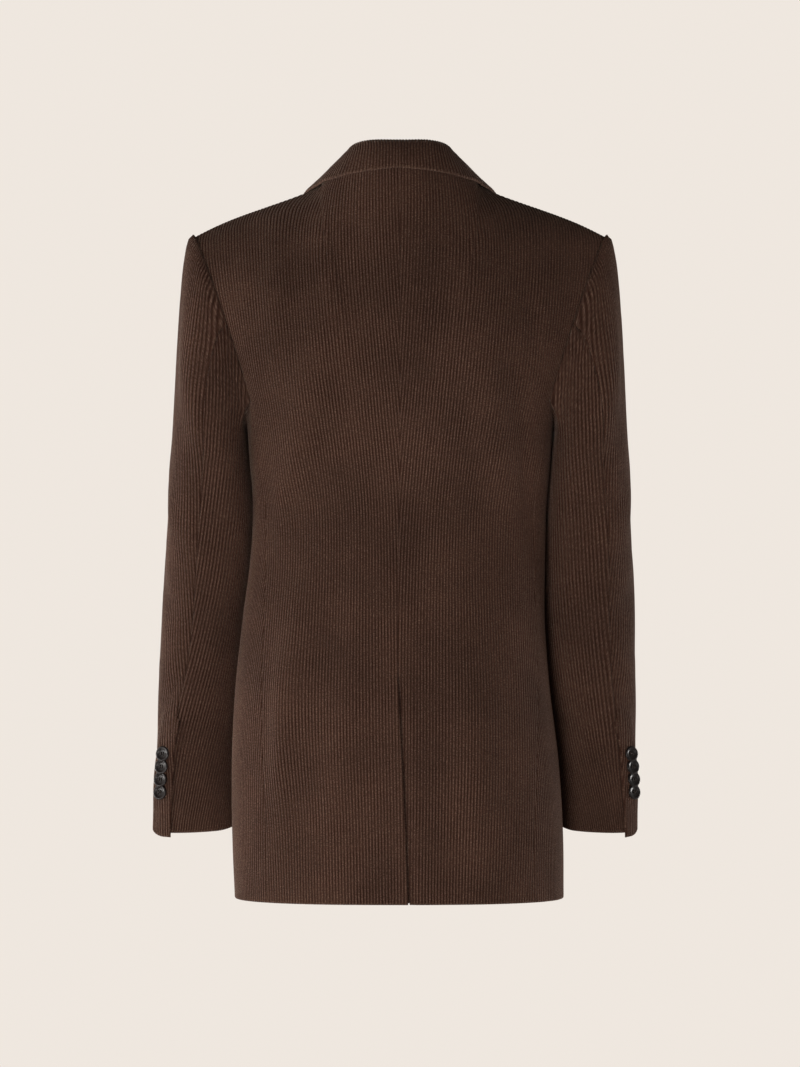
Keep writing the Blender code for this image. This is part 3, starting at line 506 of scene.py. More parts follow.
def collar(share, cell):
    """The collar's face: up the inside of the stand (0 to 1), over the roll (to 2), down the fall (to 3)."""
    edge = several(COLLAR, "edge_x edge_y edge_z", share)
    crest = several(COLLAR, "crest_x crest_y crest_z", share)
    base = neckline(share)
    outward = unit((base - points(0, NECK_CENTRE, 0)) * (1, 1, 0))
    foot = base - outward * STAND_INSET - points(0, 0, STAND_SEAM)
    middle = crest - points(0, 0, COLLAR_ROLL)
    outward = unit((edge - foot) * (1, 1, 0))
    sideways = np.cross(outward, points(0, 0, 1))

    def plane(place):
        """A place's run and rise in the section, and how far beside it, from the middle of the roll."""
        away = place - middle
        return np.sum(away * outward, -1), away[..., 2], np.sum(away * sideways, -1)

    def touch(run, rise, turn):
        """The angle at which a straight line from a place meets the roll."""
        return np.arctan2(rise, run) + turn * np.arccos(COLLAR_ROLL / np.hypot(run, rise))

    foot_run, foot_rise, foot_aside = plane(foot)
    edge_run, edge_rise, edge_aside = plane(edge)
    start = touch(foot_run, foot_rise, -1) % (2 * math.pi)
    end = touch(edge_run, edge_rise, 1)
    turn = start + (end - start) * np.clip(cell - 1, 0, 1)
    run, rise = COLLAR_ROLL * np.cos(turn), COLLAR_ROLL * np.sin(turn)
    below = np.clip(1 - cell, 0, 1)
    beyond = np.clip(cell - 2, 0, 1)
    crown = COLLAR_CROWN * np.sin(math.pi * beyond)
    run = run + (foot_run - run) * below + (edge_run - run) * beyond + crown * np.cos(turn)
    rise = rise + (foot_rise - rise) * below + (edge_rise - rise) * beyond + crown * np.sin(turn)
    aside = foot_aside * below + edge_aside * beyond
    tip = ease((share - TIP_SHARE[0]) / TIP_SHARE[1]) * ease((beyond - TIP_FALL[0]) / TIP_FALL[1])
    section = outward * run[..., None] + sideways * aside[..., None] + points(0, 0, 1) * rise[..., None]
    return middle + section + points(*COLLAR_TIP) * tip[..., None]


# ---- How the wales lean: in degrees, positive where their tops lean away from the first column ----

BACK_LEAN_LEFT = table(
    "height near inner outer far",
    (-660, 0, 1, 1, 2),
    (-603, 0, 1, 0, 3),
    (-543, 1, 1, 5, 7),
    (-483, 1, 0, 4, 1),
    (-423, 1, 1, 1, 0),
    (-363, 0, 1, 3, 3),
    (-303, 0, 1, 4, 4),
    (-263, 0, 3, 5, 4),
    (-223, 2, 5, 6, 4),
    (-183, 2, 5, 6, 5),
    (-143, 3, 5, 8, 6),
    (-103, 3, 5, 10, 11),
    (-63, 3, 6, 13, 14),
    (-23, 3, 7, 15, 14),
    (40, 2, 9, 20, 18),
)

BACK_LEAN_RIGHT = table(
    "height near inner outer far",
    (-660, 0, 1, 2, 4),
    (-603, 0, 1, 2, 2),
    (-543, -1, 1, 3, 2),
    (-483, -1, 1, 3, 3),
    (-423, -1, 2, 4, 3),
    (-363, 0, 3, 4, 3),
    (-303, 1, 3, 5, 5),
    (-263, 2, 4, 5, 5),
    (-223, 2, 5, 6, 5),
    (-183, 3, 5, 7, 6),
    (-143, 1, 5, 6, 7),
    (-103, 0, 6, 10, 10),
    (-63, 1, 7, 12, 12),
    (-23, 1, 7, 13, 12),
    (40, 1, 7, 16, 14),
)

SIDE_LEAN = table(
    "height near inner outer far",
    (-660, 0, 0, 0, 0),
    (-500, -1, -1, 0, 0),
    (-350, -1, -1, 0, 0),
    (-200, 0, 0, 0, 0),
)

FRONT_LEAN = table(
    "height near inner outer far",
    (-660, 2, 1, 0, 0),
    (-400, 3, 2, 0, 0),
    (-200, -6, -4, -1, 0),
    (-60, -12, -6, -2, 0),
    (40, -6, -4, -2, 0),
)

UPPER_LEAN = table(
    "height near inner outer far",
    (-600, 3, 2, 2, -2),
    (-450, 2, 2, 2, -2),
    (-380, 1, 2, 3, -1),
    (-250, 1, 2, 2, -1),
    (-160, 0, 0, 0, -3),
    (-120, 0, 0, 0, -9),
    (0, 0, 0, 0, -9),
)

SLEEVE_GRAIN = table(     # how far a sleeve's own up leans inwards: its head turns in over the shoulder
    "height lean",
    (-160, 0),
    (-100, 0),
    (-60, 1),
    (-20, 6),
    (20, 12),
)

UNDER_LEAN_LEFT = table(
    "height near inner outer far",
    (-600, 9, 13, 12, 6),
    (-543, 5, 14, 13, 5),
    (-483, 5, 14, 10, 2),
    (-403, 3, 6, 4, 0),
    (-323, 1, 1, 1, 0),
    (-243, 0, 0, 0, 0),
    (-163, 1, -1, -1, 0),
)

UNDER_LEAN_RIGHT = table(
    "height near inner outer far",
    (-600, 8, 14, 13, 6),
    (-543, 0, 17, 14, 6),
    (-483, -9, 8, 9, 1),
    (-403, -12, 4, 4, -4),
    (-323, -8, 0, 0, 0),
    (-243, -4, 0, 0, 0),
    (-163, 1, -3, -2, 0),
)


def lean_at(chart, height, across):
    """The wales' lean at a height and at a share of the way across a piece."""
    columns = several(chart, "near inner outer far", height)
    last = columns.shape[-1] - 1
    place = np.clip(across * last, 0, last - 1e-9)
    before = place.astype(int)
    part = place - before
    low = np.take_along_axis(columns, before[..., None], -1)[..., 0]
    high = np.take_along_axis(columns, before[..., None] + 1, -1)[..., 0]
    return low * (1 - part) + high * part


# ---- Cloth with wales ----

def shares(face):
    """Each point's share of the way across its row of a grid."""
    return np.linspace(0, 1, face.shape[1])[None] * np.ones((len(face), 1))


def within(vectors, out):
    """The part of some vectors that isn't along the way out."""
    return vectors - out * np.sum(vectors * out, -1, keepdims=True)


def spread_rows(face, out):
    """A dense grid's rows taken again a cell's length apart, and closer at its two ends."""
    steps = np.linalg.norm(np.diff(face, axis=0), axis=-1).mean(1)
    length = np.concatenate([[0], np.cumsum(steps)])
    first = list(END_ROWS)
    last = [length[-1] - depth for depth in reversed(END_ROWS)]
    count = max(int(round((last[0] - first[-1]) / ROW)), 1)
    middle = np.linspace(first[-1], last[0], count + 1)[1:-1]
    wanted = np.concatenate([first, middle, last])
    place = np.interp(wanted, length, np.arange(len(length)))
    before = np.minimum(place.astype(int), len(length) - 2)
    part = (place - before)[:, None, None]
    face = face[before] * (1 - part) + face[before + 1] * part
    out = unit(out[before] * (1 - part) + out[before + 1] * part)
    return face, out


def along(grid_points, axis):
    """Lengths from the first row or column of a grid of points."""
    steps = np.linalg.norm(np.diff(grid_points, axis=axis), axis=-1)
    start = np.zeros_like(np.take(steps, [0], axis))
    return np.concatenate([start, np.cumsum(steps, axis)], axis)


def settle_wales(face, out, lean, upright=None):
    """The wale number at each point of a grid that best keeps the lean and, less strictly, the pitch."""
    if upright is None:
        upright = within(points(0, 0, np.ones(face.shape[:2])), out)
    trust = np.clip(np.linalg.norm(upright, axis=-1), LEAST_TRUST, 1)
    upright = unit(upright)
    sideways = unit(np.cross(upright, out))
    if np.sum(sideways * np.gradient(face, axis=1)) < 0:
        sideways = -sideways
    turn = np.radians(lean)[..., None]
    crossing = sideways * np.cos(turn) - upright * np.sin(turn)
    following = upright * np.cos(turn) + sideways * np.sin(turn)
    rows = np.unique(np.linspace(0, face.shape[0] - 1, LEAN_GRID[0]).astype(int))
    columns = np.unique(np.linspace(0, face.shape[1] - 1, LEAN_GRID[1]).astype(int))
    coarse = np.ix_(rows, columns)

    def run(axis, lead):
        """How far the grid's coarse rows or columns go along a field of directions, cell by cell."""
        steps = np.diff(face, axis=axis)
        lead = lead.take(range(1, face.shape[axis]), axis) + lead.take(range(face.shape[axis] - 1), axis)
        gone = np.sum(steps * lead, -1) / 2
        start = np.zeros_like(np.take(gone, [0], axis))
        return np.diff(np.concatenate([start, np.cumsum(gone, axis)], axis)[coarse], axis=axis)

    row_across, row_along = run(1, crossing), run(1, following)
    column_across, column_along = run(0, crossing), run(0, following)
    number = np.arange(len(rows) * len(columns)).reshape(len(rows), len(columns))
    corners = [number[:-1, :-1], number[:-1, 1:], number[1:, :-1], number[1:, 1:]]
    # How far each cell goes across (a) and along (l) the wales, in its row (r) and in its column (c)
    ra, rl = ((edge[:-1] + edge[1:]) / 2 for edge in (row_across, row_along))
    ca, cl = ((edge[:, :-1] + edge[:, 1:]) / 2 for edge in (column_across, column_along))
    area = ra * cl - ca * rl
    weight = np.sqrt(np.abs(area)) * trust[coarse][:-1, :-1] / area
    squares, wanted = np.zeros((number.size, number.size)), np.zeros(number.size)

    def state(ends, factors, value):
        """Adds one equation for each cell or edge: the sum of its ends' numbers times factors has a value."""
        for end, factor in zip(ends, factors):
            np.add.at(wanted, end, factor * value)
            for other, second in zip(ends, factors):
                np.add.at(squares, (end, other), factor * second + 0 * value)

    by_row, by_column = np.array((-1, 1, -1, 1)) / 2, np.array((-1, -1, 1, 1)) / 2
    state(corners, [weight * (ra * c - ca * r) for r, c in zip(by_row, by_column)], 0 * area)
    state(corners, [EVEN_SHARE * weight * (cl * r - rl * c) for r, c in zip(by_row, by_column)],
          EVEN_SHARE * weight * area / PITCH)
    state((number[:, :-1], number[:, 1:]), (-EDGE_SHARE, EDGE_SHARE), EDGE_SHARE * row_across / PITCH)
    state((number[:-1], number[1:]), (-EDGE_SHARE, EDGE_SHARE), EDGE_SHARE * column_across / PITCH)
    state((number[len(rows) // 2, :1],), (1.0,), np.zeros(1))
    found = np.linalg.solve(squares, wanted).reshape(number.shape)
    over_columns = np.array([np.interp(np.arange(face.shape[1]), columns, line) for line in found])
    whole = np.array([np.interp(np.arange(face.shape[0]), rows, line) for line in over_columns.T]).T
    return np.maximum.accumulate(whole, 1)


def ridge(wale):
    """The pile's height at a wale number: round crests with narrow valleys between them."""
    phase = wale - np.floor(wale)
    return 1 - np.abs(2 * phase - 1) ** ROUND


def sampled(grid_values, place):
    """Values of a grid at places along each of its rows."""
    before = np.minimum(place.astype(int), grid_values.shape[1] - 2)
    part = place - before
    rows = np.arange(len(grid_values))[:, None]
    if grid_values.ndim == 3:
        part = part[..., None]
    return grid_values[rows, before] * (1 - part) + grid_values[rows, before + 1] * part


def lattice(wale, levels):
    """Where each level lies along each row, and the first and last level of each row inside the piece."""
    first, last = wale[:, :1], wale[:, -1:]
    held = np.clip(levels, first, last)
    place = np.array([np.interp(line, row, np.arange(wale.shape[1])) for line, row in zip(held, wale)])
    start = np.maximum((levels <= first).sum(1) - 1, 0)
    end = np.minimum(len(levels) - (levels >= last).sum(1), len(levels) - 1)
    return held, place, start, end


def cells(start, end, count, offset):
    """Faces of a lattice whose rows begin and end at different columns, and its points' numbers."""
    column = np.clip(np.arange(count)[None], start[:, None], end[:, None])
    number = offset + np.arange(len(start))[:, None] * count + column
    a, b, c, d = number[:-1, :-1], number[1:, :-1], number[1:, 1:], number[:-1, 1:]
    whole = (a != d) & (b != c)
    quads = np.stack([a[whole], b[whole], c[whole], d[whole]], -1).tolist()
    low, high = (a == d) & (b != c), (a != d) & (b == c)
    quads += np.stack([a[low], b[low], c[low]], -1).tolist()
    quads += np.stack([a[high], b[high], d[high]], -1).tolist()
    return quads, number


def placed(name, data):
    """A new object in the scene."""
    thing = bpy.data.objects.new(name, data)
    bpy.context.scene.collection.objects.link(thing)
    return thing


class Cloth:
    """Points, faces, map and finish of one piece, which may be made of several grids."""

    def __init__(self, name, mirrored=False):
        self.name, self.mirrored = name, mirrored
        self.corners, self.maps, self.faces, self.finish = [], [], [], []
        self.count = 0

    def put(self, corners, wale, length, edge_wear_and_highlight=0.0):
        """Adds points with their place in the cloth, and how far the pile is painted paler there: worn pile,
        with a painted highlight on rolled edges.
        """
        self.corners.append(corners.reshape(-1, 3))
        self.maps.append(np.stack([wale.ravel(), length.ravel() / PITCH, (wale * 0 + edge_wear_and_highlight).ravel()], -1))
        start = self.count
        self.count += len(self.corners[-1])
        return start

    def grid(self, face, out, wale, drops=(EDGE_DROP,) * 4, high=RIDGE, seed=0.0):
        """A wall with wales outside. drops: how deep it turns in at its first and last row and column."""
        turns = np.sum(np.cross(np.gradient(face, axis=0), np.gradient(face, axis=1)) * out)
        valleys = np.arange(np.floor(wale.min()), np.ceil(wale.max()) + 1)
        levels = (valleys[:-1, None] + np.array(RIDGE_STEPS)).ravel()
        levels = np.concatenate([levels, valleys[-1:]])
        fine, place, start, end = lattice(wale, levels)
        top, normal = sampled(face, place), sampled(out, place)
        row_length, column_length = along(face, 1), along(face, 0)
        length = sampled(column_length, place)
        to_edges = (
            length, sampled(column_length[-1:] - column_length, place),
            sampled(row_length, place), sampled(row_length[:, -1:] - row_length, place),
        )
        lift = high * ridge(fine) - SUNK
        far, where = WANDER_TURNS
        wander = WANDER * np.sin(fine * far + seed) * np.sin(length / WANDER_LENGTH + fine * where) * high
        drop, edge_wear_and_highlight = np.zeros_like(lift), np.zeros_like(lift)
        for distance, depth in zip(to_edges, drops):
            inward = np.clip(1 - distance / ROLL, 0, 1)
            drop = np.maximum(drop, depth * (1 - np.sqrt(1 - inward**2)))
            # Free edges only: paler worn pile, which also paints a highlight on the rolled edge
            free = np.clip((depth - SEAM_DROP) / (EDGE_DROP - SEAM_DROP), 0, 1) * (depth <= EDGE_DROP)
            edge_wear_and_highlight = np.maximum(edge_wear_and_highlight, free * np.clip(1 - distance / WEAR_AND_HIGHLIGHT_REACH, 0, 1))
        outer = top + unit(normal) * (lift + wander - drop)[..., None]
        offset = self.put(outer, fine + seed, length, edge_wear_and_highlight)
        faces, number = cells(start, end, len(levels), offset)

        plain, place_in, start_in, end_in = lattice(wale, valleys)
        inner = sampled(face, place_in) - unit(sampled(out, place_in)) * CLOTH
        offset_in = self.put(inner, plain + seed, sampled(column_length, place_in))
        faces_in, number_in = cells(start_in, end_in, len(valleys), offset_in)
        step = len(RIDGE_STEPS)
        rims = []
        for row, order in ((0, 1), (-1, -1)):
            for k in range(start_in[row], end_in[row]):
                low, high_end = number_in[row, k], number_in[row, k + 1]
                first = max(k * step, start[row])
                last = min((k + 1) * step, end[row])
                if k == start_in[row]:
                    first = start[row]
                if k + 1 == end_in[row]:
                    last = end[row]
                if first >= last:
                    continue
                chain = [number[row, j] for j in range(first, last + 1)]
                rims.append(([int(low), *map(int, chain), int(high_end)])[::order])
        for side, order in ((0, -1), (-1, 1)):
            edge, edge_in = number[:, side], number_in[:, side]
            for k in range(len(edge) - 1):
                rims.append([int(edge_in[k]), int(edge[k]), int(edge[k + 1]), int(edge_in[k + 1])][::order])
        if turns < 0:
            faces = [f[::-1] for f in faces]
            rims = [f[::-1] for f in rims]
        else:
            faces_in = [f[::-1] for f in faces_in]
        self.faces += faces + rims + faces_in
        self.finish += [0] * (len(faces) + len(rims)) + [1] * len(faces_in)

    def make(self, materials, node):
        """The piece, in place of its node."""
        corners = np.concatenate(self.corners) * MM
        faces = self.faces
        if self.mirrored:
            corners = corners * (-1, 1, 1)
            faces = [face[::-1] for face in faces]
        mesh = bpy.data.meshes.new(self.name)
        used, index = np.unique(np.concatenate([np.array(face) for face in faces]), return_inverse=True)
        sizes = np.array([len(face) for face in faces])
        starts = np.concatenate([[0], np.cumsum(sizes)])
        index = index.tolist()
        mesh.from_pydata(corners[used].tolist(), [], [index[a:b] for a, b in zip(starts[:-1], starts[1:])])
        place = np.concatenate(self.maps)[used]
        loops = np.empty(len(mesh.loops), np.int32)
        mesh.loops.foreach_get("vertex_index", loops)
        for name, columns in (("cloth", (0, 1)), ("edge_wear_and_highlight", (2, 2))):
            layer = mesh.uv_layers.new(name=name)
            layer.uv.foreach_set("vector", place[loops][:, columns].astype(np.float32).ravel())
        for finish in materials:
            mesh.materials.append(finish)
        mesh.polygons.foreach_set("material_index", np.array(self.finish, np.int32))
        mesh.shade_smooth()
        mesh.set_sharp_from_angle(angle=math.radians(CLOTH_SHARP))
        mesh.validate()
        piece = placed(self.name, mesh)
        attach(piece, "root")
        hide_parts(node)
        return piece


# ---- The pieces of cloth ----

# The vent in the back, and the underlap that is cut in one with the right back
VENT_LIFT = 0.7         # the left back's edge stands out at the vent,
VENT_SINK = 2.4         # and the right back goes in under it
VENT_SPREAD = 12.0      # over this width,
VENT_START = 24.0       # from the vent's top over this length,
VENT_GAP = 1.5          # and leaves this gap beside it
VENT_DROP = 1.45        # how deep the cloth turns in there, where its pile isn't brushed
SEAM_START = 12.0       # it turns in less, as at the seam, from this far above
UNDERLAP_DEPTH = 5.2    # how far the underlap lies inside the back's face
UNDERLAP_BACK = 5.0     # and how far it reaches back under its own piece
UNDERLAP_ENDS = 1.5, 12.0   # how far above the hem and the vent's top it ends
UNDERLAP_CELLS = 60, 24
UNDERLAP_RIDGE = 0.5

FLAT_DROP = 0.35        # how deep the cloth turns in at a seam that was pressed flat
ALLOWANCE_DEPTH = 2.1   # how far an armhole's turned-in allowance lies under the seam
ALLOWANCE_RADIUS = 1.3
ALLOWANCE_SIDES = 10
SETTLE = 2.2            # how far the collar's edge drops onto the shoulder seam,
SETTLE_SHARE = 0.13, 0.17   # from this share of its length before the seam, and over this one,
SETTLE_FALL = 2.2, 0.8      # and from where down the fall

# Places across and up the pieces, with the cells between each two
BODY_UP = 0, 100, 1, 70, 2
BACK_ACROSS = 0, 50, NECK_SHARE, 90, 1
SIDE_UP = 0, 100, 1
SIDE_ACROSS = 0, 130, 1
FRONT_ACROSS = 0, 120, 1
LAPEL_ACROSS = 0, 60, 1, 24, 2
LAPEL_ROWS = 90
COLLAR_UP = 0, 20, 1, 14, 2, 40, 3
COLLAR_COLUMNS = 110

# What sets one piece's speckle apart from another's
BACK_SEED, SIDE_SEED, FRONT_SEED = 0, 60, 130
UNDER_SEED, UPPER_SEED = 200, 300
LAPEL_SEED, COLLAR_SEED, UNDERLAP_SEED = 350, 7.0, 40.0
RIGHT_SEED = 500        # more on the wearer's right

BODY_EDGES = (EDGE_DROP, SEAM_DROP, SEAM_DROP, SEAM_DROP)
FRONT_EDGES = (EDGE_DROP, SEAM_DROP, SEAM_DROP, EDGE_DROP)
SLEEVE_EDGES = (SEAM_DROP, EDGE_DROP, SEAM_DROP, SEAM_DROP)


def sheet_of(piece, face):
    """A piece's width and length as cloth, at the size of its cut without seam allowances, worked out but not
    kept.
    """
    width, length = along(face, 1)[:, -1].max() * MM, along(face, 0)[-1].max() * MM


def spans(*ends_and_counts):
    """Rising places, from a list of ends with the number of cells between each two."""
    values = [np.array([ends_and_counts[0]])]
    for count, end in zip(ends_and_counts[1::2], ends_and_counts[2::2]):
        values.append(np.linspace(values[-1][-1], end, count + 1)[1:])
    return np.concatenate(values)


def body_piece(name, side, surface, across, up, chart, seed, drops, finish):
    """A back, side panel or front."""
    across, up = np.meshgrid(across, up)
    face, out = surface(side, across, up), normals(surface, side, across, up)
    if surface is back:
        from_vent = ease((VENT_TOP - face[..., 2]) / VENT_START) * ease(1 - along(face, 1) / VENT_SPREAD)
        step = VENT_LIFT if side is LEFT else -VENT_SINK
        face = face + out * (back_folds(side, face) + step * from_vent)[..., None]
        if side is RIGHT:
            face = face + points(VENT_GAP * from_vent, 0, 0)
    face, out = spread_rows(face, out)
    wale = settle_wales(face, out, lean_at(chart, face[..., 2], shares(face)))
    cloth = Cloth(name + "_cloth", side is RIGHT)
    if surface is back:
        above_vent = ease((face[:, :1, 2] - VENT_TOP) / SEAM_START)
        drops = (*drops[:2], VENT_DROP + (FLAT_DROP - VENT_DROP) * above_vent, drops[3])
    cloth.grid(face, out, wale, drops, seed=seed)
    if name == "back_right":
        add_underlap(cloth)
    sheet_of(cloth.make(finish, name), face)


def add_underlap(cloth):
    """The vent's underlap, which reaches from under the right back to under the left one."""
    rows, columns = UNDERLAP_CELLS
    height = np.linspace(HEM + UNDERLAP_ENDS[0], VENT_TOP + UNDERLAP_ENDS[1], rows)[:, None]
    reach = read(CENTRE_BACK, "x", height) + np.linspace(-UNDERLAP_BACK, UNDERLAP, columns)
    height = height + 0 * reach
    place = trunk(LEFT, trunk_angle(LEFT, reach, height, "back"), height)
    out = points(0 * reach, 1, 0)
    place = place + out * (back_folds(LEFT, place) - UNDERLAP_DEPTH)[..., None]
    place, out = spread_rows(place * (-1, 1, 1), out)
    wale = along(place, 1) / PITCH
    cloth.grid(place, out, wale, high=UNDERLAP_RIDGE, seed=UNDERLAP_SEED)


def armhole(side, facing=False):
    """The armhole's line down the back, under the arm and up to the shoulder, or the way out along it."""

    def edge(surface, across, up):
        """A piece's edge, or the way out from it."""
        return normals(surface, side, across, up) if facing else surface(side, across, up)

    rows = 1 + np.linspace(0, 1, UPPER_ROWS * FINE + 1)
    bottom = np.linspace(0, 1, SIDE_CELLS * FINE + 1)
    down = edge(back, np.ones(len(rows)), rows)[::-1]
    under = edge(side_panel, bottom, np.ones(len(bottom)))
    rise = edge(front, np.zeros(len(rows)), rows)
    return np.concatenate([down, under[1:], rise[1:]])


def sleeve(side):
    """A sleeve's dense grid from the armhole to the cuff, and the columns of its two seams."""
    top = armhole(side)
    lengths = np.concatenate([[0], np.cumsum(np.linalg.norm(np.diff(top, axis=0), axis=1))])
    turn = 360 * lengths / lengths[-1]
    corners = UPPER_ROWS * FINE, (UPPER_ROWS + SIDE_CELLS) * FINE
    hind, fore = corners[0] - HIND_SEAM_ROW * FINE, corners[1] + FORE_SEAM_ROW * FINE

    def angles(height):
        """The angle of each column at a height."""
        found = np.empty(height.shape)
        for row, level in enumerate(height):
            knots = (0, hind_angle(side, level[hind]), *UNDERARM_ANGLES, 360)
            found[row] = np.interp(turn, (0, turn[hind], turn[corners[0]], turn[corners[1]], 360), knots)
        return found

    start_height = np.full((1, len(turn)), SLEEVE_TOP)
    start_angle = angles(start_height)
    base = sleeve_ring(side, start_angle, start_height)
    above = base - sleeve_ring(side, start_angle, start_height - 1)
    share = np.linspace(0, 1, HEAD_ROWS * FINE + 1)[:, None] ** HEAD_CROWD
    out = top + several(SLEEVE_HEAD, "out_x out_y out_z", turn)
    up = base + above * read(SLEEVE_HEAD, "up", turn)[:, None]
    head = bezier(top, out, up, base, np.repeat(share, len(turn), 1))
    fall = np.linspace(0, 1, SLEEVE_ROWS * FINE + 1)[1:, None]
    edge = CUFF - CUFF_RISE * np.cos(np.radians(start_angle - CUFF_LOW_ANGLE))
    height = SLEEVE_TOP + (edge - SLEEVE_TOP) * fall
    angle = angles(height)
    face = np.concatenate([head, sleeve_ring(side, angle, height)])
    angle = np.concatenate([np.repeat(start_angle, len(head), 0), angle])
    closed = np.concatenate([face[:, -2:-1], face, face[:, 1:2]], 1)
    normal = unit(np.cross(np.gradient(face, axis=0), np.gradient(closed, axis=1)[:, 1:-1]))
    drop = ease(np.arange(len(face)) / (HEAD_ROWS * FINE / 2))[:, None]
    face = face + normal * (relief(SLEEVE_FOLDS, angle, face[..., 2]) * drop)[..., None]
    return face, normal, hind, fore


def grain(face, out):
    """The way up along a sleeve's grain."""
    lean = np.radians(read(SLEEVE_GRAIN, "lean", face[..., 2]))
    return within(points(-np.sin(lean), 0, np.cos(lean)), out)


def add_allowance(cloth, line, inward, seed):
    """The seam allowance turned in along an armhole: a round roll of cloth under the seam."""
    turn = np.arange(ALLOWANCE_SIDES) * 2 * math.pi / ALLOWANCE_SIDES
    ahead = unit(np.gradient(line, axis=0))
    inward = unit(within(inward, ahead))
    aside = np.cross(ahead, inward)
    middle = line + inward * ALLOWANCE_DEPTH
    ring = inward[:, None] * np.cos(turn)[:, None] + aside[:, None] * np.sin(turn)[:, None]
    roll = middle[:, None] + ring * ALLOWANCE_RADIUS
    length = along(line[:, None], 0)
    start = cloth.put(roll, seed + 0 * roll[..., 0], length + 0 * roll[..., 0])
    number = start + np.arange(len(line) * ALLOWANCE_SIDES).reshape(len(line), ALLOWANCE_SIDES)
    after = np.roll(number, -1, 1)
    faces = np.stack([number[:-1], after[:-1], after[1:], number[1:]], -1).reshape(-1, 4).tolist()
    faces += [number[0, ::-1].tolist(), number[-1].tolist()]
    cloth.faces += faces
    cloth.finish += [1] * len(faces)


def sleeve_pieces(side, seed, finish):
    """One sleeve's two pieces."""
    face, out, hind, fore = sleeve(side)
    seam, inward = face[0], -unit(out[0] + armhole(side, facing=True))
    under = UNDER_LEAN_LEFT if side is LEFT else UNDER_LEAN_RIGHT
    last = len(seam) - 1
    parts = (
        ("under", np.arange(hind, fore + 1), under, UNDER_SEED, ((hind, fore),)),
        ("upper", np.r_[fore:last, 0:hind + 1], UPPER_LEAN, UPPER_SEED, ((fore, last), (0, hind))),
    )
    for part, columns, chart, own_seed, stretches in parts:
        piece, piece_out = spread_rows(face[:, columns], out[:, columns])
        lean = lean_at(chart, piece[..., 2], shares(piece))
        wale = settle_wales(piece, piece_out, lean, grain(piece, piece_out))
        if part == "upper":
            piece, piece_out, wale = lapped(piece, piece_out, wale)
        cloth = Cloth(f"sleeve_{part}_{side.name}_cloth", side is RIGHT)
        cloth.grid(piece, piece_out, wale, SLEEVE_EDGES, seed=seed + own_seed)
        for a, b in stretches:
            add_allowance(cloth, seam[a:b + 1], inward[a:b + 1], seed + UNDER_SEED)
        sheet_of(cloth.make(finish, f"sleeve_{part}_{side.name}"), piece)


def lapped(face, out, wale):
    """The upper sleeve lifted along the cuff's vent, with the cloth that laps the under sleeve there."""
    drop = (face[:, -1, 2] - face[-1, -1, 2])[:, None]
    to_edge = np.linalg.norm(face - face[:, -1:], axis=-1)
    open_here = ease((VENT_HEIGHT + VENT_EASE - drop) / VENT_EASE)
    lift = open_here * ease((CUFF_LIFT_REACH - to_edge) / (CUFF_LIFT_REACH - CUFF_LIFT_FULL))
    raised = face + out * (CUFF_LIFT * lift)[..., None]
    raised[..., 2] -= CUFF_TAB * ease(1 - to_edge / CUFF_TAB_WIDTH) * ease(1 - drop / CUFF_TAB_HEIGHT)
    ahead = unit(face[:, -1] - face[:, -2])
    width = CUFF_LAP * np.clip((VENT_HEIGHT + CUFF_LAP_FADE - drop) / CUFF_LAP_FADE, 0, 1)
    steps = np.linspace(0, 1, CUFF_LAP_CELLS + 1)[1:]
    lap = raised[:, -1:] + ahead[:, None] * (width * steps)[..., None]
    lap_wale = wale[:, -1:] + width * steps / PITCH
    lap_out = np.repeat(out[:, -1:], len(steps), 1)
    pairs = (raised, lap), (out, lap_out), (wale, lap_wale)
    return [np.concatenate(pair, 1) for pair in pairs]


def folded_piece(name, face, out, seed, finish, mirrored=False):
    """A lapel or the collar, whose wales run down its grid's columns."""
    face, out = spread_rows(face, out)
    wale = settle_wales(face, out, np.zeros(face.shape[:2]), unit(np.gradient(face, axis=0)))
    cloth = Cloth(name + "_cloth", mirrored)
    cloth.grid(face, out, wale, seed=seed)
    sheet_of(cloth.make(finish, name), face)


def lapel_piece(side, seed, finish):
    """One lapel, turned back over its front."""
    cell, share = np.meshgrid(spans(*LAPEL_ACROSS), np.linspace(0, 1, LAPEL_ROWS))
    face, out = lapel(side, cell, share)
    folded_piece("lapel_" + side.name, face, out, seed + LAPEL_SEED, finish, side is RIGHT)


def collar_piece(finish):
    """The collar, from the wearer's left to the right."""
    share, cell = np.meshgrid(np.linspace(1, 0, COLLAR_COLUMNS), spans(*COLLAR_UP))
    face = collar(share, cell)
    at_seam = np.clip((share - COLLAR_SHOULDER + SETTLE_SHARE[0]) / SETTLE_SHARE[1], 0, 1)
    settled = np.sin(math.pi * at_seam) ** 2 * ease((cell - SETTLE_FALL[0]) / SETTLE_FALL[1])
    face[..., 2] -= SETTLE * settled
    rows = collar(share, np.minimum(cell + STEP, 3)) - collar(share, np.maximum(cell - STEP, 0))
    columns = collar(np.maximum(share - STEP, 0), cell) - collar(np.minimum(share + STEP, 1), cell)
    out = unit(np.cross(rows, columns))
    out[:, -1] = unit(out[:, -1] * (0, 1, 1))
    face = np.concatenate([face, face[:, -2::-1] * (-1, 1, 1)], 1)
    out = np.concatenate([out, out[:, -2::-1] * (-1, 1, 1)], 1)
    folded_piece("collar", face, out, COLLAR_SEED, finish)


# ---- Finishes ----

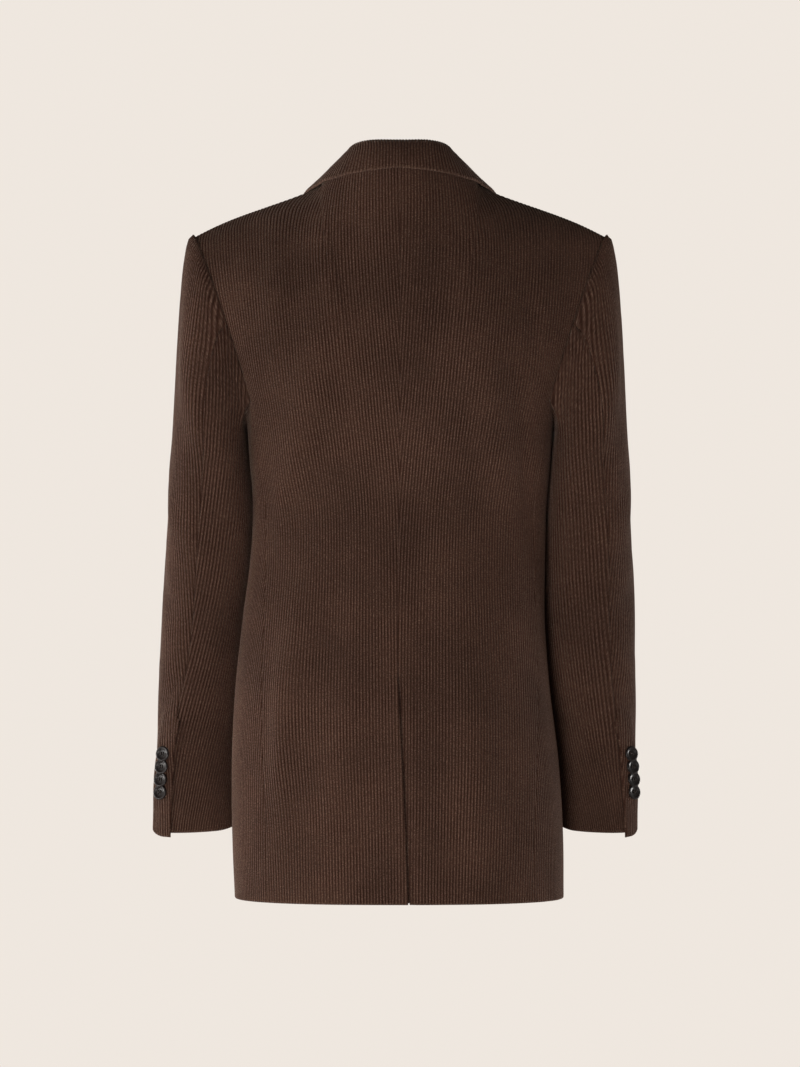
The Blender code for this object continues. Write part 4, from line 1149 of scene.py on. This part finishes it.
class Nodes:
    """The nodes of a material or of the world, added and linked by short calls."""

    def __init__(self, owner, shader="Principled BSDF"):
        owner.use_nodes = True
        self.owner = owner
        self.tree = owner.node_tree
        self.shader = self.tree.nodes[shader]

    def add(self, kind, inputs=(), out=0, **settings):
        """An output of a new node with settings, and inputs given as values or as other nodes' outputs."""
        node = self.tree.nodes.new("ShaderNode" + kind)
        for key, value in settings.items():
            setattr(node, key, value)
        for key, value in dict(inputs).items():
            if isinstance(value, bpy.types.NodeSocket):
                self.tree.links.new(value, node.inputs[key])
            else:
                node.inputs[key].default_value = value
        return node.outputs[out]

    def maths(self, operation, *values):
        """A sum on one to three values."""
        return self.add("Math", dict(enumerate(values)), operation=operation)

    def noise(self, vector, scale, detail, rough):
        """Noise about 0.5."""
        return self.add("TexNoise", {"Vector": vector, "Scale": scale, "Detail": detail, "Roughness": rough})

    def mapped(self, vector, scale=(1, 1, 1), rotation=(0, 0, 0)):
        """A place scaled or rotated."""
        return self.add("Mapping", {"Vector": vector, "Scale": scale, "Rotation": rotation})

    def blend(self, share, first, second, blend_type="MIX"):
        """Two colours mixed by a share."""
        first, second = (c if isinstance(c, bpy.types.NodeSocket) else (*c, 1) for c in (first, second))
        inputs = {0: share, 6: first, 7: second}
        return self.add("Mix", inputs, out=2, data_type="RGBA", blend_type=blend_type)

    def span(self, value, low, high, to_low=0.0, to_high=1.0, **settings):
        """A value's range taken to another, held at its ends."""
        ends = {"Value": value, "From Min": low, "From Max": high, "To Min": to_low, "To Max": to_high}
        return self.add("MapRange", ends, **settings)

    def bump(self, height, strength, distance):
        """Bumps on the shader's surface."""
        height = {"Height": height, "Strength": strength, "Distance": distance}
        self.link(self.add("Bump", height), "Normal")

    def link(self, output, key):
        """Joins an output to the shader."""
        self.tree.links.new(output, self.shader.inputs[key])

    def give(self, **values):
        """The shader's plain values, named with _ for a space."""
        for key, value in values.items():
            self.shader.inputs[key.replace("_", " ")].default_value = value


# Crests: the pile's paler tips plus a painted highlight; valleys: the darker ground plus painted shade, on
# top of the ridges' real relief
CREST_TONE_AND_HIGHLIGHT = (0.1000, 0.0530, 0.0365)
VALLEY_TONE_AND_SHADE = (0.0380, 0.0150, 0.0094)
# Paler pile: worn tips of tufts on the crests, and near free edges also a painted highlight on the rolled
# edge
WORN_PILE_AND_HIGHLIGHT_COLOUR = (0.170, 0.110, 0.083)
SHEEN_COLOUR = (0.90, 0.72, 0.60)
REVERSE_COLOURS = (0.020, 0.0105, 0.0070), (0.036, 0.0200, 0.0140)
HORN_COLOURS = (0.008, 0.006, 0.006), (0.024, 0.018, 0.017)
THREAD_COLOURS = (0.014, 0.008, 0.006), (0.040, 0.024, 0.018)

# Noises: scale, detail and roughness. The cloth's own are measured in wales, the others in metres
TUFTS = 2.3, 2.0, 0.65
SPECKS = 9.0, 3.0, 0.7
YARNS = 1.5, 2.0, 0.6
YARN_SHAPE = (2.0, 0.35, 1.0)       # long along the wales
PATCHES = 12.0, 3.0, 0.55
NAP = 45.0, 3.0, 0.6
REVERSE_SPECKS = 5.0, 3.0, 0.6
STREAKS = 110.0, 4.0, 0.6
STREAK_SHAPE = (1.0, 4.5, 1.0)
POLISH = 900.0, 2.0, 0.5

# Ranges of a noise, or of the height up a wale, and what they are taken to if not 0 to 1
# how the crests' painted highlight rises out of the valleys' painted shade across a wale
CREST_HIGHLIGHT_RANGE = 0.22, 0.86
FLAT_RANGE = 0.42, 0.64, 0.05, 0.65     # how far the nap is flattened,
FLAT_NAP = 0.55         # and how far from the valley's colour to the crest's it is then
BRUSHED_TUFTS = 0.50, 0.78
BRUSHED_CRESTS = 0.3, 0.9
# how much paler the pile is near a free edge: wear, and a painted highlight on the rolled edge
EDGE_WEAR_AND_HIGHLIGHT_RANGE = 0.38, 0.66, 0.08, 0.48
TUFT_SHADE = 0.3, 0.7, 0.60, 1.40
SPECK_SHADE = 0.3, 0.7, 0.84, 1.16
YARN_SHADE = 0.3, 0.7, 0.82, 1.18
PATCH_SHADE = 0.35, 0.65, 0.86, 1.14
REVERSE_SHADE = 0.3, 0.7, 0.5, 1.0
STREAK_RANGE = 0.35, 0.72
HORN_ROUGHNESS = 0.3, 0.7, 0.26, 0.40

# Bumps: strength, and height in metres
PILE_BUMP = 0.6, 0.0008
TUFT_PART, SPECK_PART = 0.8, 0.5
REVERSE_BUMP = 0.4, 0.0003
THREAD_BUMP = 0.5, 0.0002

TWILL = {"Scale": 2.2, "Distortion": 0.6, "Detail": 1.0}
TWILL_TURN = 0.9        # radians between the twill and the wales
TWIST = {"Scale": 900.0, "Distortion": 0.4}
TWIST_TURN = 0.8        # and between the thread and its strands


def corduroy():
    """The pile: pale crests with a painted highlight, dark valleys with painted shade, speckled tufts, paler
    worn pile with a painted highlight at free edges, and broad patches where the nap lies otherwise.
    """
    n = Nodes(bpy.data.materials.new("corduroy_pile"))
    place = n.add("UVMap", uv_map="cloth")
    phase = n.maths("FRACT", n.add("SeparateXYZ", {0: place}))
    crest = n.maths("SUBTRACT", 1.0, n.maths("ABSOLUTE", n.maths("MULTIPLY_ADD", phase, 2.0, -1.0)))
    tuft, speck = n.noise(place, *TUFTS), n.noise(place, *SPECKS)
    yarn = n.noise(n.mapped(place, scale=YARN_SHAPE), *YARNS)
    position = n.add("NewGeometry", out="Position")
    patch, nap = n.noise(position, *PATCHES), n.noise(position, *NAP)
    flat = n.span(nap, *FLAT_RANGE)
    # From painted shade in the valleys to a painted highlight on the crests, evened out where the nap lies
    # flat
    body = n.maths("ADD", n.maths("MULTIPLY", n.span(crest, *CREST_HIGHLIGHT_RANGE), n.maths("SUBTRACT", 1.0, flat)),
                   n.maths("MULTIPLY", flat, FLAT_NAP))
    colour = n.blend(body, VALLEY_TONE_AND_SHADE, CREST_TONE_AND_HIGHLIGHT)
    brushed = n.maths("MULTIPLY", n.span(tuft, *BRUSHED_TUFTS), n.span(crest, *BRUSHED_CRESTS))
    colour = n.blend(brushed, colour, WORN_PILE_AND_HIGHLIGHT_COLOUR)
    # Paler pile near free edges: worn pile, and a painted highlight on the rolled edge
    edge = n.add("SeparateXYZ", {0: n.add("UVMap", uv_map="edge_wear_and_highlight")})
    colour = n.blend(n.maths("MULTIPLY", edge, n.span(tuft, *EDGE_WEAR_AND_HIGHLIGHT_RANGE)), colour, WORN_PILE_AND_HIGHLIGHT_COLOUR)
    shade = n.span(tuft, *TUFT_SHADE)
    for grain, limits in ((speck, SPECK_SHADE), (yarn, YARN_SHADE), (patch, PATCH_SHADE)):
        shade = n.maths("MULTIPLY", shade, n.span(grain, *limits))
    tint = n.add("CombineColor", {0: shade, 1: shade, 2: shade})
    n.link(n.blend(1.0, colour, tint, "MULTIPLY"), "Base Color")
    height = n.maths("ADD", n.maths("MULTIPLY", tuft, TUFT_PART), n.maths("MULTIPLY", speck, SPECK_PART))
    n.bump(height, *PILE_BUMP)
    n.give(Roughness=0.92, Specular_IOR_Level=0.15, Sheen_Weight=0.30, Sheen_Roughness=0.32,
           Sheen_Tint=(*SHEEN_COLOUR, 1))
    return n.owner


def reverse_side():
    """The cloth's plain inner side: a fine twill with no pile."""
    n = Nodes(bpy.data.materials.new("corduroy_reverse"))
    place = n.add("UVMap", uv_map="cloth")
    twill = n.add("TexWave", {"Vector": n.mapped(place, rotation=(0, 0, TWILL_TURN)), **TWILL})
    speck = n.noise(place, *REVERSE_SPECKS)
    share = n.maths("MULTIPLY", twill, n.span(speck, *REVERSE_SHADE))
    n.link(n.blend(share, *REVERSE_COLOURS), "Base Color")
    n.bump(share, *REVERSE_BUMP)
    n.give(Roughness=0.88, Specular_IOR_Level=0.2, Sheen_Weight=0.1)
    return n.owner


def horn():
    """Polished horn: dark grey-brown with soft paler streaks."""
    n = Nodes(bpy.data.materials.new("horn"))
    place = n.add("TexCoord", out="Object")
    streak = n.noise(n.mapped(place, scale=STREAK_SHAPE), *STREAKS)
    n.link(n.blend(n.span(streak, *STREAK_RANGE), *HORN_COLOURS), "Base Color")
    n.link(n.span(n.noise(place, *POLISH), *HORN_ROUGHNESS), "Roughness")
    n.give(Specular_IOR_Level=0.35)
    return n.owner


def sewing_thread():
    """Twisted thread."""
    n = Nodes(bpy.data.materials.new("thread"))
    place = n.mapped(n.add("TexCoord", out="Object"), rotation=(0, 0, TWIST_TURN))
    twist = n.add("TexWave", {"Vector": place, **TWIST})
    n.link(n.blend(twist, *THREAD_COLOURS), "Base Color")
    n.bump(twist, *THREAD_BUMP)
    n.give(Roughness=0.6)
    return n.owner


# ---- The buttons ----

FACE_PROFILE = (        # from the middle out: share of the radius, and depth under the rim
    (0.0, 1.0), (0.30, 1.0), (0.50, 0.92), (0.62, 0.62), (0.70, 0.2),
    (0.78, 0.03), (0.86, 0.0), (0.93, 0.1), (0.98, 0.42), (1.0, 0.85),
)
BACK_PROFILE = (        # and back in: share of the radius, and height above the back
    (0.985, 0.75), (0.93, 0.3), (0.84, 0.05), (0.6, 0.0), (0.0, 0.0),
)
CUFF_BUTTONS, FRONT_BUTTONS = 4, 2      # on each cuff, and on the front
DISH = 1.0              # depth of the dished face
BUTTON_SIDES = 48
BUTTON_SHARP = 40       # degrees, as for the cloth
HOLES = 4
HOLE_RADIUS = 0.85
HOLE_SPREAD = 1.75      # from the button's middle
HOLE_LENGTH = 12
HOLE_SIDES = 20
THREAD_RADIUS = 0.42
STITCH = (              # from hole to hole: share of the way out, and height above the dish
    (-1, -0.8), (-1, 0.05), (-0.5, 0.42), (0, 0.5), (0.5, 0.42), (1, 0.05), (1, -0.8),
)
ARM = 0.2, -0.02        # where the middle of a forearm is, in metres; a cuff's buttons face away from it


def turned_button(radius, depth):
    """A button's mesh in millimetres, its back at the origin: a rolled rim round a dished face."""
    profile = [(share * radius, depth - under) for share, under in FACE_PROFILE]
    profile += [(share * radius, height) for share, height in BACK_PROFILE]
    turn = np.arange(BUTTON_SIDES) * 2 * math.pi / BUTTON_SIDES
    corners = [(0.0, 0.0, profile[0][1])]
    for x, z in profile[1:-1]:
        corners += [(x * math.cos(a), x * math.sin(a), z) for a in turn]
    corners.append((0.0, 0.0, 0.0))
    after = [(k, (k + 1) % BUTTON_SIDES) for k in range(BUTTON_SIDES)]
    faces = [(0, 1 + k, 1 + m) for k, m in after]
    for ring in range(len(profile) - 3):
        low, high = 1 + ring * BUTTON_SIDES, 1 + (ring + 1) * BUTTON_SIDES
        faces += [(low + k, high + k, high + m, low + m) for k, m in after]
    last = 1 + (len(profile) - 3) * BUTTON_SIDES
    faces += [(last + m, last + k, len(corners) - 1) for k, m in after]
    mesh = bpy.data.meshes.new("button")
    mesh.from_pydata((np.array(corners) * MM).tolist(), [], faces)
    return mesh


def button_axes(node):
    """A packed button's back, the way it faces, its radius and its depth, read from its own points."""
    corners = np.array([tuple(v.co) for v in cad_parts[node].data.vertices])
    middle = (corners.min(0) + corners.max(0)) / 2
    centred = corners - corners.mean(0)
    axis = np.linalg.svd(centred, full_matrices=False)[2][2]
    outward = middle - (np.sign(middle[0]) * ARM[0], ARM[1], middle[2])
    if node.startswith("front"):
        outward = np.array((0, -1, 0))
    if axis @ outward < 0:
        axis = -axis
    reach = centred @ axis
    back_face = corners.mean(0) + axis * reach.min()
    side = centred - np.outer(reach, axis)
    return back_face, axis, np.linalg.norm(side, axis=1).max(), reach.max() - reach.min()


def drill(piece):
    """A button's holes."""
    for k in range(HOLES):
        angle = math.pi / 4 + k * math.pi / 2
        cutter = bmesh.new()
        radius = HOLE_RADIUS * MM
        bmesh.ops.create_cone(cutter, cap_ends=True, segments=HOLE_SIDES, radius1=radius, radius2=radius,
                              depth=HOLE_LENGTH * MM)
        mesh = bpy.data.meshes.new("hole")
        cutter.to_mesh(mesh)
        cutter.free()
        hole = placed("hole", mesh)
        hole.location = (HOLE_SPREAD * MM * math.cos(angle), HOLE_SPREAD * MM * math.sin(angle), 0)
        cut = piece.modifiers.new("Hole", "BOOLEAN")
        cut.object = hole
        bpy.context.view_layer.update()
        evaluated = piece.evaluated_get(bpy.context.evaluated_depsgraph_get())
        holed = bpy.data.meshes.new_from_object(evaluated)
        piece.modifiers.clear()
        piece.data = holed
        bpy.data.objects.remove(hole)


def stitch(name, sign, height):
    """One thread through two holes, on the side of the button that sign says."""
    line = bpy.data.curves.new(name, "CURVE")
    line.dimensions = "3D"
    line.bevel_depth = THREAD_RADIUS * MM
    line.bevel_resolution = 3
    line.use_fill_caps = True
    spread = HOLE_SPREAD * MM * math.cos(math.pi / 4)
    spline = line.splines.new("POLY")
    spline.points.add(len(STITCH) - 1)
    for point, (run, rise) in zip(spline.points, STITCH):
        point.co = (spread * sign, spread * run, height + rise * MM, 1)
    return line


def seat(thing, place, axis):
    """Puts a thing that was made about its Z axis in its place."""
    thing.location = Vector(place)
    thing.rotation_mode = "QUATERNION"
    thing.rotation_quaternion = Vector(axis).to_track_quat("Z", "Y")


def button(node, finish, thread):
    """A button in place of its node, with its holes and the thread through them."""
    place, axis, radius, depth = button_axes(node)
    piece = placed(node + "_turned", turned_button(radius / MM, depth / MM))
    drill(piece)
    piece.data.materials.clear()
    piece.data.materials.append(finish)
    piece.data.shade_smooth()
    piece.data.set_sharp_from_angle(angle=math.radians(BUTTON_SHARP))
    seat(piece, place, axis)
    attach(piece, "root")
    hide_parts(node)
    for sign, letter in ((-1, "a"), (1, "b")):
        line = stitch(f"{node}_thread", sign, depth - DISH * MM)
        line.materials.append(thread)
        strand = placed(f"{node}_thread_{letter}", line)
        seat(strand, place, axis)
        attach(strand, "root")


# ---- The stage ----

CAMERA_DISTANCE = 5.44      # from the origin, straight behind the jacket
CAMERA_HEIGHT = -0.2965
CAMERA_LENS = 183.5
CAMERA_REACH = 200
FLOOR_HEIGHT = -1.15
FLOOR_RADIUS = 60
FLOOR_SIDES = 96
PAPER_COLOUR = (0.30, 0.275, 0.25)
PAPER_GLOW = (0.862, 0.800, 0.738)
PAPER_GRAIN = 0.985     # how bright the darker fibres are beside the others
FIBRES = 400.0, 3.0, 0.5
FIBRE_RANGE = 0.3, 0.7
GLOW_SHARE = 0.80       # of the paper's brightness near the jacket that is its own
PAPER_NEAR = 0.7        # from here on out it takes less light and gives more of its own,
PAPER_FAR = 1.9         # till it meets the sky here
FLOOR_LIGHT = 0.30      # how much of its glow the paper casts on the jacket
SKY_LOW, SKY_HIGH = 0.11, 0.75      # rises between which the sky's light falls off
ZENITH_SHARE = 0.15     # how bright the sky is overhead, as a share of its brightness at the horizon
SKY_BRIGHT_SIDE = (0.55, -0.83, 0.0)    # where most of the surround's light comes from
SKY_BRIGHT = 0.9        # and how bright it is there
SKY_DIM = 0.15          # and on the other side
MIDDLE = (0, 0, -0.3)   # of the jacket
SKIRT = (0, 0, -0.6)
LAMPS = (               # name, place, size, power, colour and what it is aimed at
    ("key", (0.5, 2.5, -1.04), 0.8, 47, (1.0, 0.96, 0.93), MIDDLE),
    ("side", (3.2, 0.9, -0.9), 1.4, 50, (1.0, 0.97, 0.94), MIDDLE),
    ("fill", (-1.9, 2.3, -1.04), 1.0, 9, (1.0, 0.97, 0.95), MIDDLE),
    ("rim_left", (2.3, -1.2, -1.05), 1.2, 60, (1.0, 0.97, 0.95), SKIRT),
    ("rim_right", (-2.3, -1.2, -1.05), 1.2, 70, (1.0, 0.97, 0.95), SKIRT),
    ("front", (0.9, -3.4, 0.4), 2.0, 24, (1.0, 0.97, 0.95), MIDDLE),
)


def paper():
    """Matt pale paper, lit from behind so that it casts an even light upwards."""
    n = Nodes(bpy.data.materials.new("backdrop_paper"))
    place = n.add("TexCoord", out="Object")
    fibres = n.span(n.noise(place, *FIBRES), *FIBRE_RANGE)
    colour = n.blend(fibres, PAPER_COLOUR, tuple(PAPER_GRAIN * c for c in PAPER_COLOUR))
    radius = n.add("VectorMath", {0: place}, out="Value", operation="LENGTH")
    far = n.span(radius, PAPER_NEAR, PAPER_FAR, interpolation_type="SMOOTHSTEP")
    n.link(n.blend(far, colour, (0.0, 0.0, 0.0)), "Base Color")
    seen = n.span(n.add("LightPath", out="Is Camera Ray"), 0.0, 1.0, FLOOR_LIGHT, 1.0)
    n.link(n.maths("MULTIPLY", n.span(far, 0.0, 1.0, GLOW_SHARE, 1.0), seen), "Emission Strength")
    n.give(Roughness=0.95, Specular_IOR_Level=0.0, Emission_Color=(*PAPER_GLOW, 1))
    return n.owner


def sky():
    """A pale surround, brightest towards the jacket's front and its left, and dim overhead."""
    world = bpy.data.worlds.new("studio")
    bpy.context.scene.world = world
    n = Nodes(world, "Background")
    toward = n.add("TexCoord", out="Generated")
    rise = n.add("SeparateXYZ", {0: toward}, out="Z")
    beside = n.add("VectorMath", {0: toward, 1: SKY_BRIGHT_SIDE}, out="Value", operation="DOT_PRODUCT")
    light = n.maths("MULTIPLY", n.span(beside, -1.0, 1.0, SKY_DIM, SKY_BRIGHT),
                    n.span(rise, SKY_LOW, SKY_HIGH, 1.0, ZENITH_SHARE))
    seen = n.add("LightPath", out="Is Camera Ray")
    n.link(n.span(seen, 0.0, 1.0, light, 1.0), "Strength")
    n.give(Color=(*PAPER_GLOW, 1))


def backdrop():
    """A wide round floor."""
    bm = bmesh.new()
    bmesh.ops.create_circle(bm, cap_ends=True, segments=FLOOR_SIDES, radius=FLOOR_RADIUS)
    mesh = bpy.data.meshes.new("floor")
    bm.to_mesh(mesh)
    bm.free()
    mesh.materials.append(paper())
    floor = placed("floor", mesh)
    floor.location = (0, 0, FLOOR_HEIGHT)


def area_light(name, place, size, power, colour, aim):
    """A soft square light aimed at the jacket."""
    light = bpy.data.lights.new(name, "AREA")
    light.shape = "SQUARE"
    light.size = size
    light.energy = power
    light.color = colour
    lamp = placed(name, light)
    lamp.visible_camera = False
    lamp.location = place
    lamp.rotation_euler = (Vector(aim) - Vector(place)).to_track_quat("-Z", "Y").to_euler()


def stage():
    """The floor, the sky's even light, the lamps and the camera."""
    backdrop()
    sky()
    for lamp in LAMPS:
        area_light(*lamp)
    lens = bpy.data.cameras.new("camera")
    lens.lens = CAMERA_LENS
    lens.clip_end = CAMERA_REACH
    camera = placed("camera", lens)
    camera.location = (0, CAMERA_DISTANCE, CAMERA_HEIGHT)
    camera.rotation_euler = (math.pi / 2, 0, math.pi)
    bpy.context.scene.camera = camera
    bpy.context.scene.view_settings.view_transform = "Standard"


def main():
    """Dress the jacket and set the stage."""
    cloth = (corduroy(), reverse_side())
    polished, thread = horn(), sewing_thread()
    for side, seed in ((LEFT, 0), (RIGHT, RIGHT_SEED)):
        back_lean = BACK_LEAN_LEFT if side is LEFT else BACK_LEAN_RIGHT
        body = (
            ("back", back, BACK_ACROSS, BODY_UP, back_lean, BACK_SEED, BODY_EDGES),
            ("side", side_panel, SIDE_ACROSS, SIDE_UP, SIDE_LEAN, SIDE_SEED, BODY_EDGES),
            ("front", front, FRONT_ACROSS, BODY_UP, FRONT_LEAN, FRONT_SEED, FRONT_EDGES),
        )
        for part, surface, across, up, chart, own_seed, edges in body:
            body_piece(f"{part}_{side.name}", side, surface, spans(*across), spans(*up), chart,
                       seed + own_seed, edges, cloth)
        sleeve_pieces(side, seed, cloth)
        lapel_piece(side, seed, cloth)
        for number in range(CUFF_BUTTONS):
            button(f"cuff_button_{side.name}_{number + 1}", polished, thread)
    collar_piece(cloth)
    for number in range(FRONT_BUTTONS):
        button(f"front_button_{number + 1}", polished, thread)
    stage()


main()
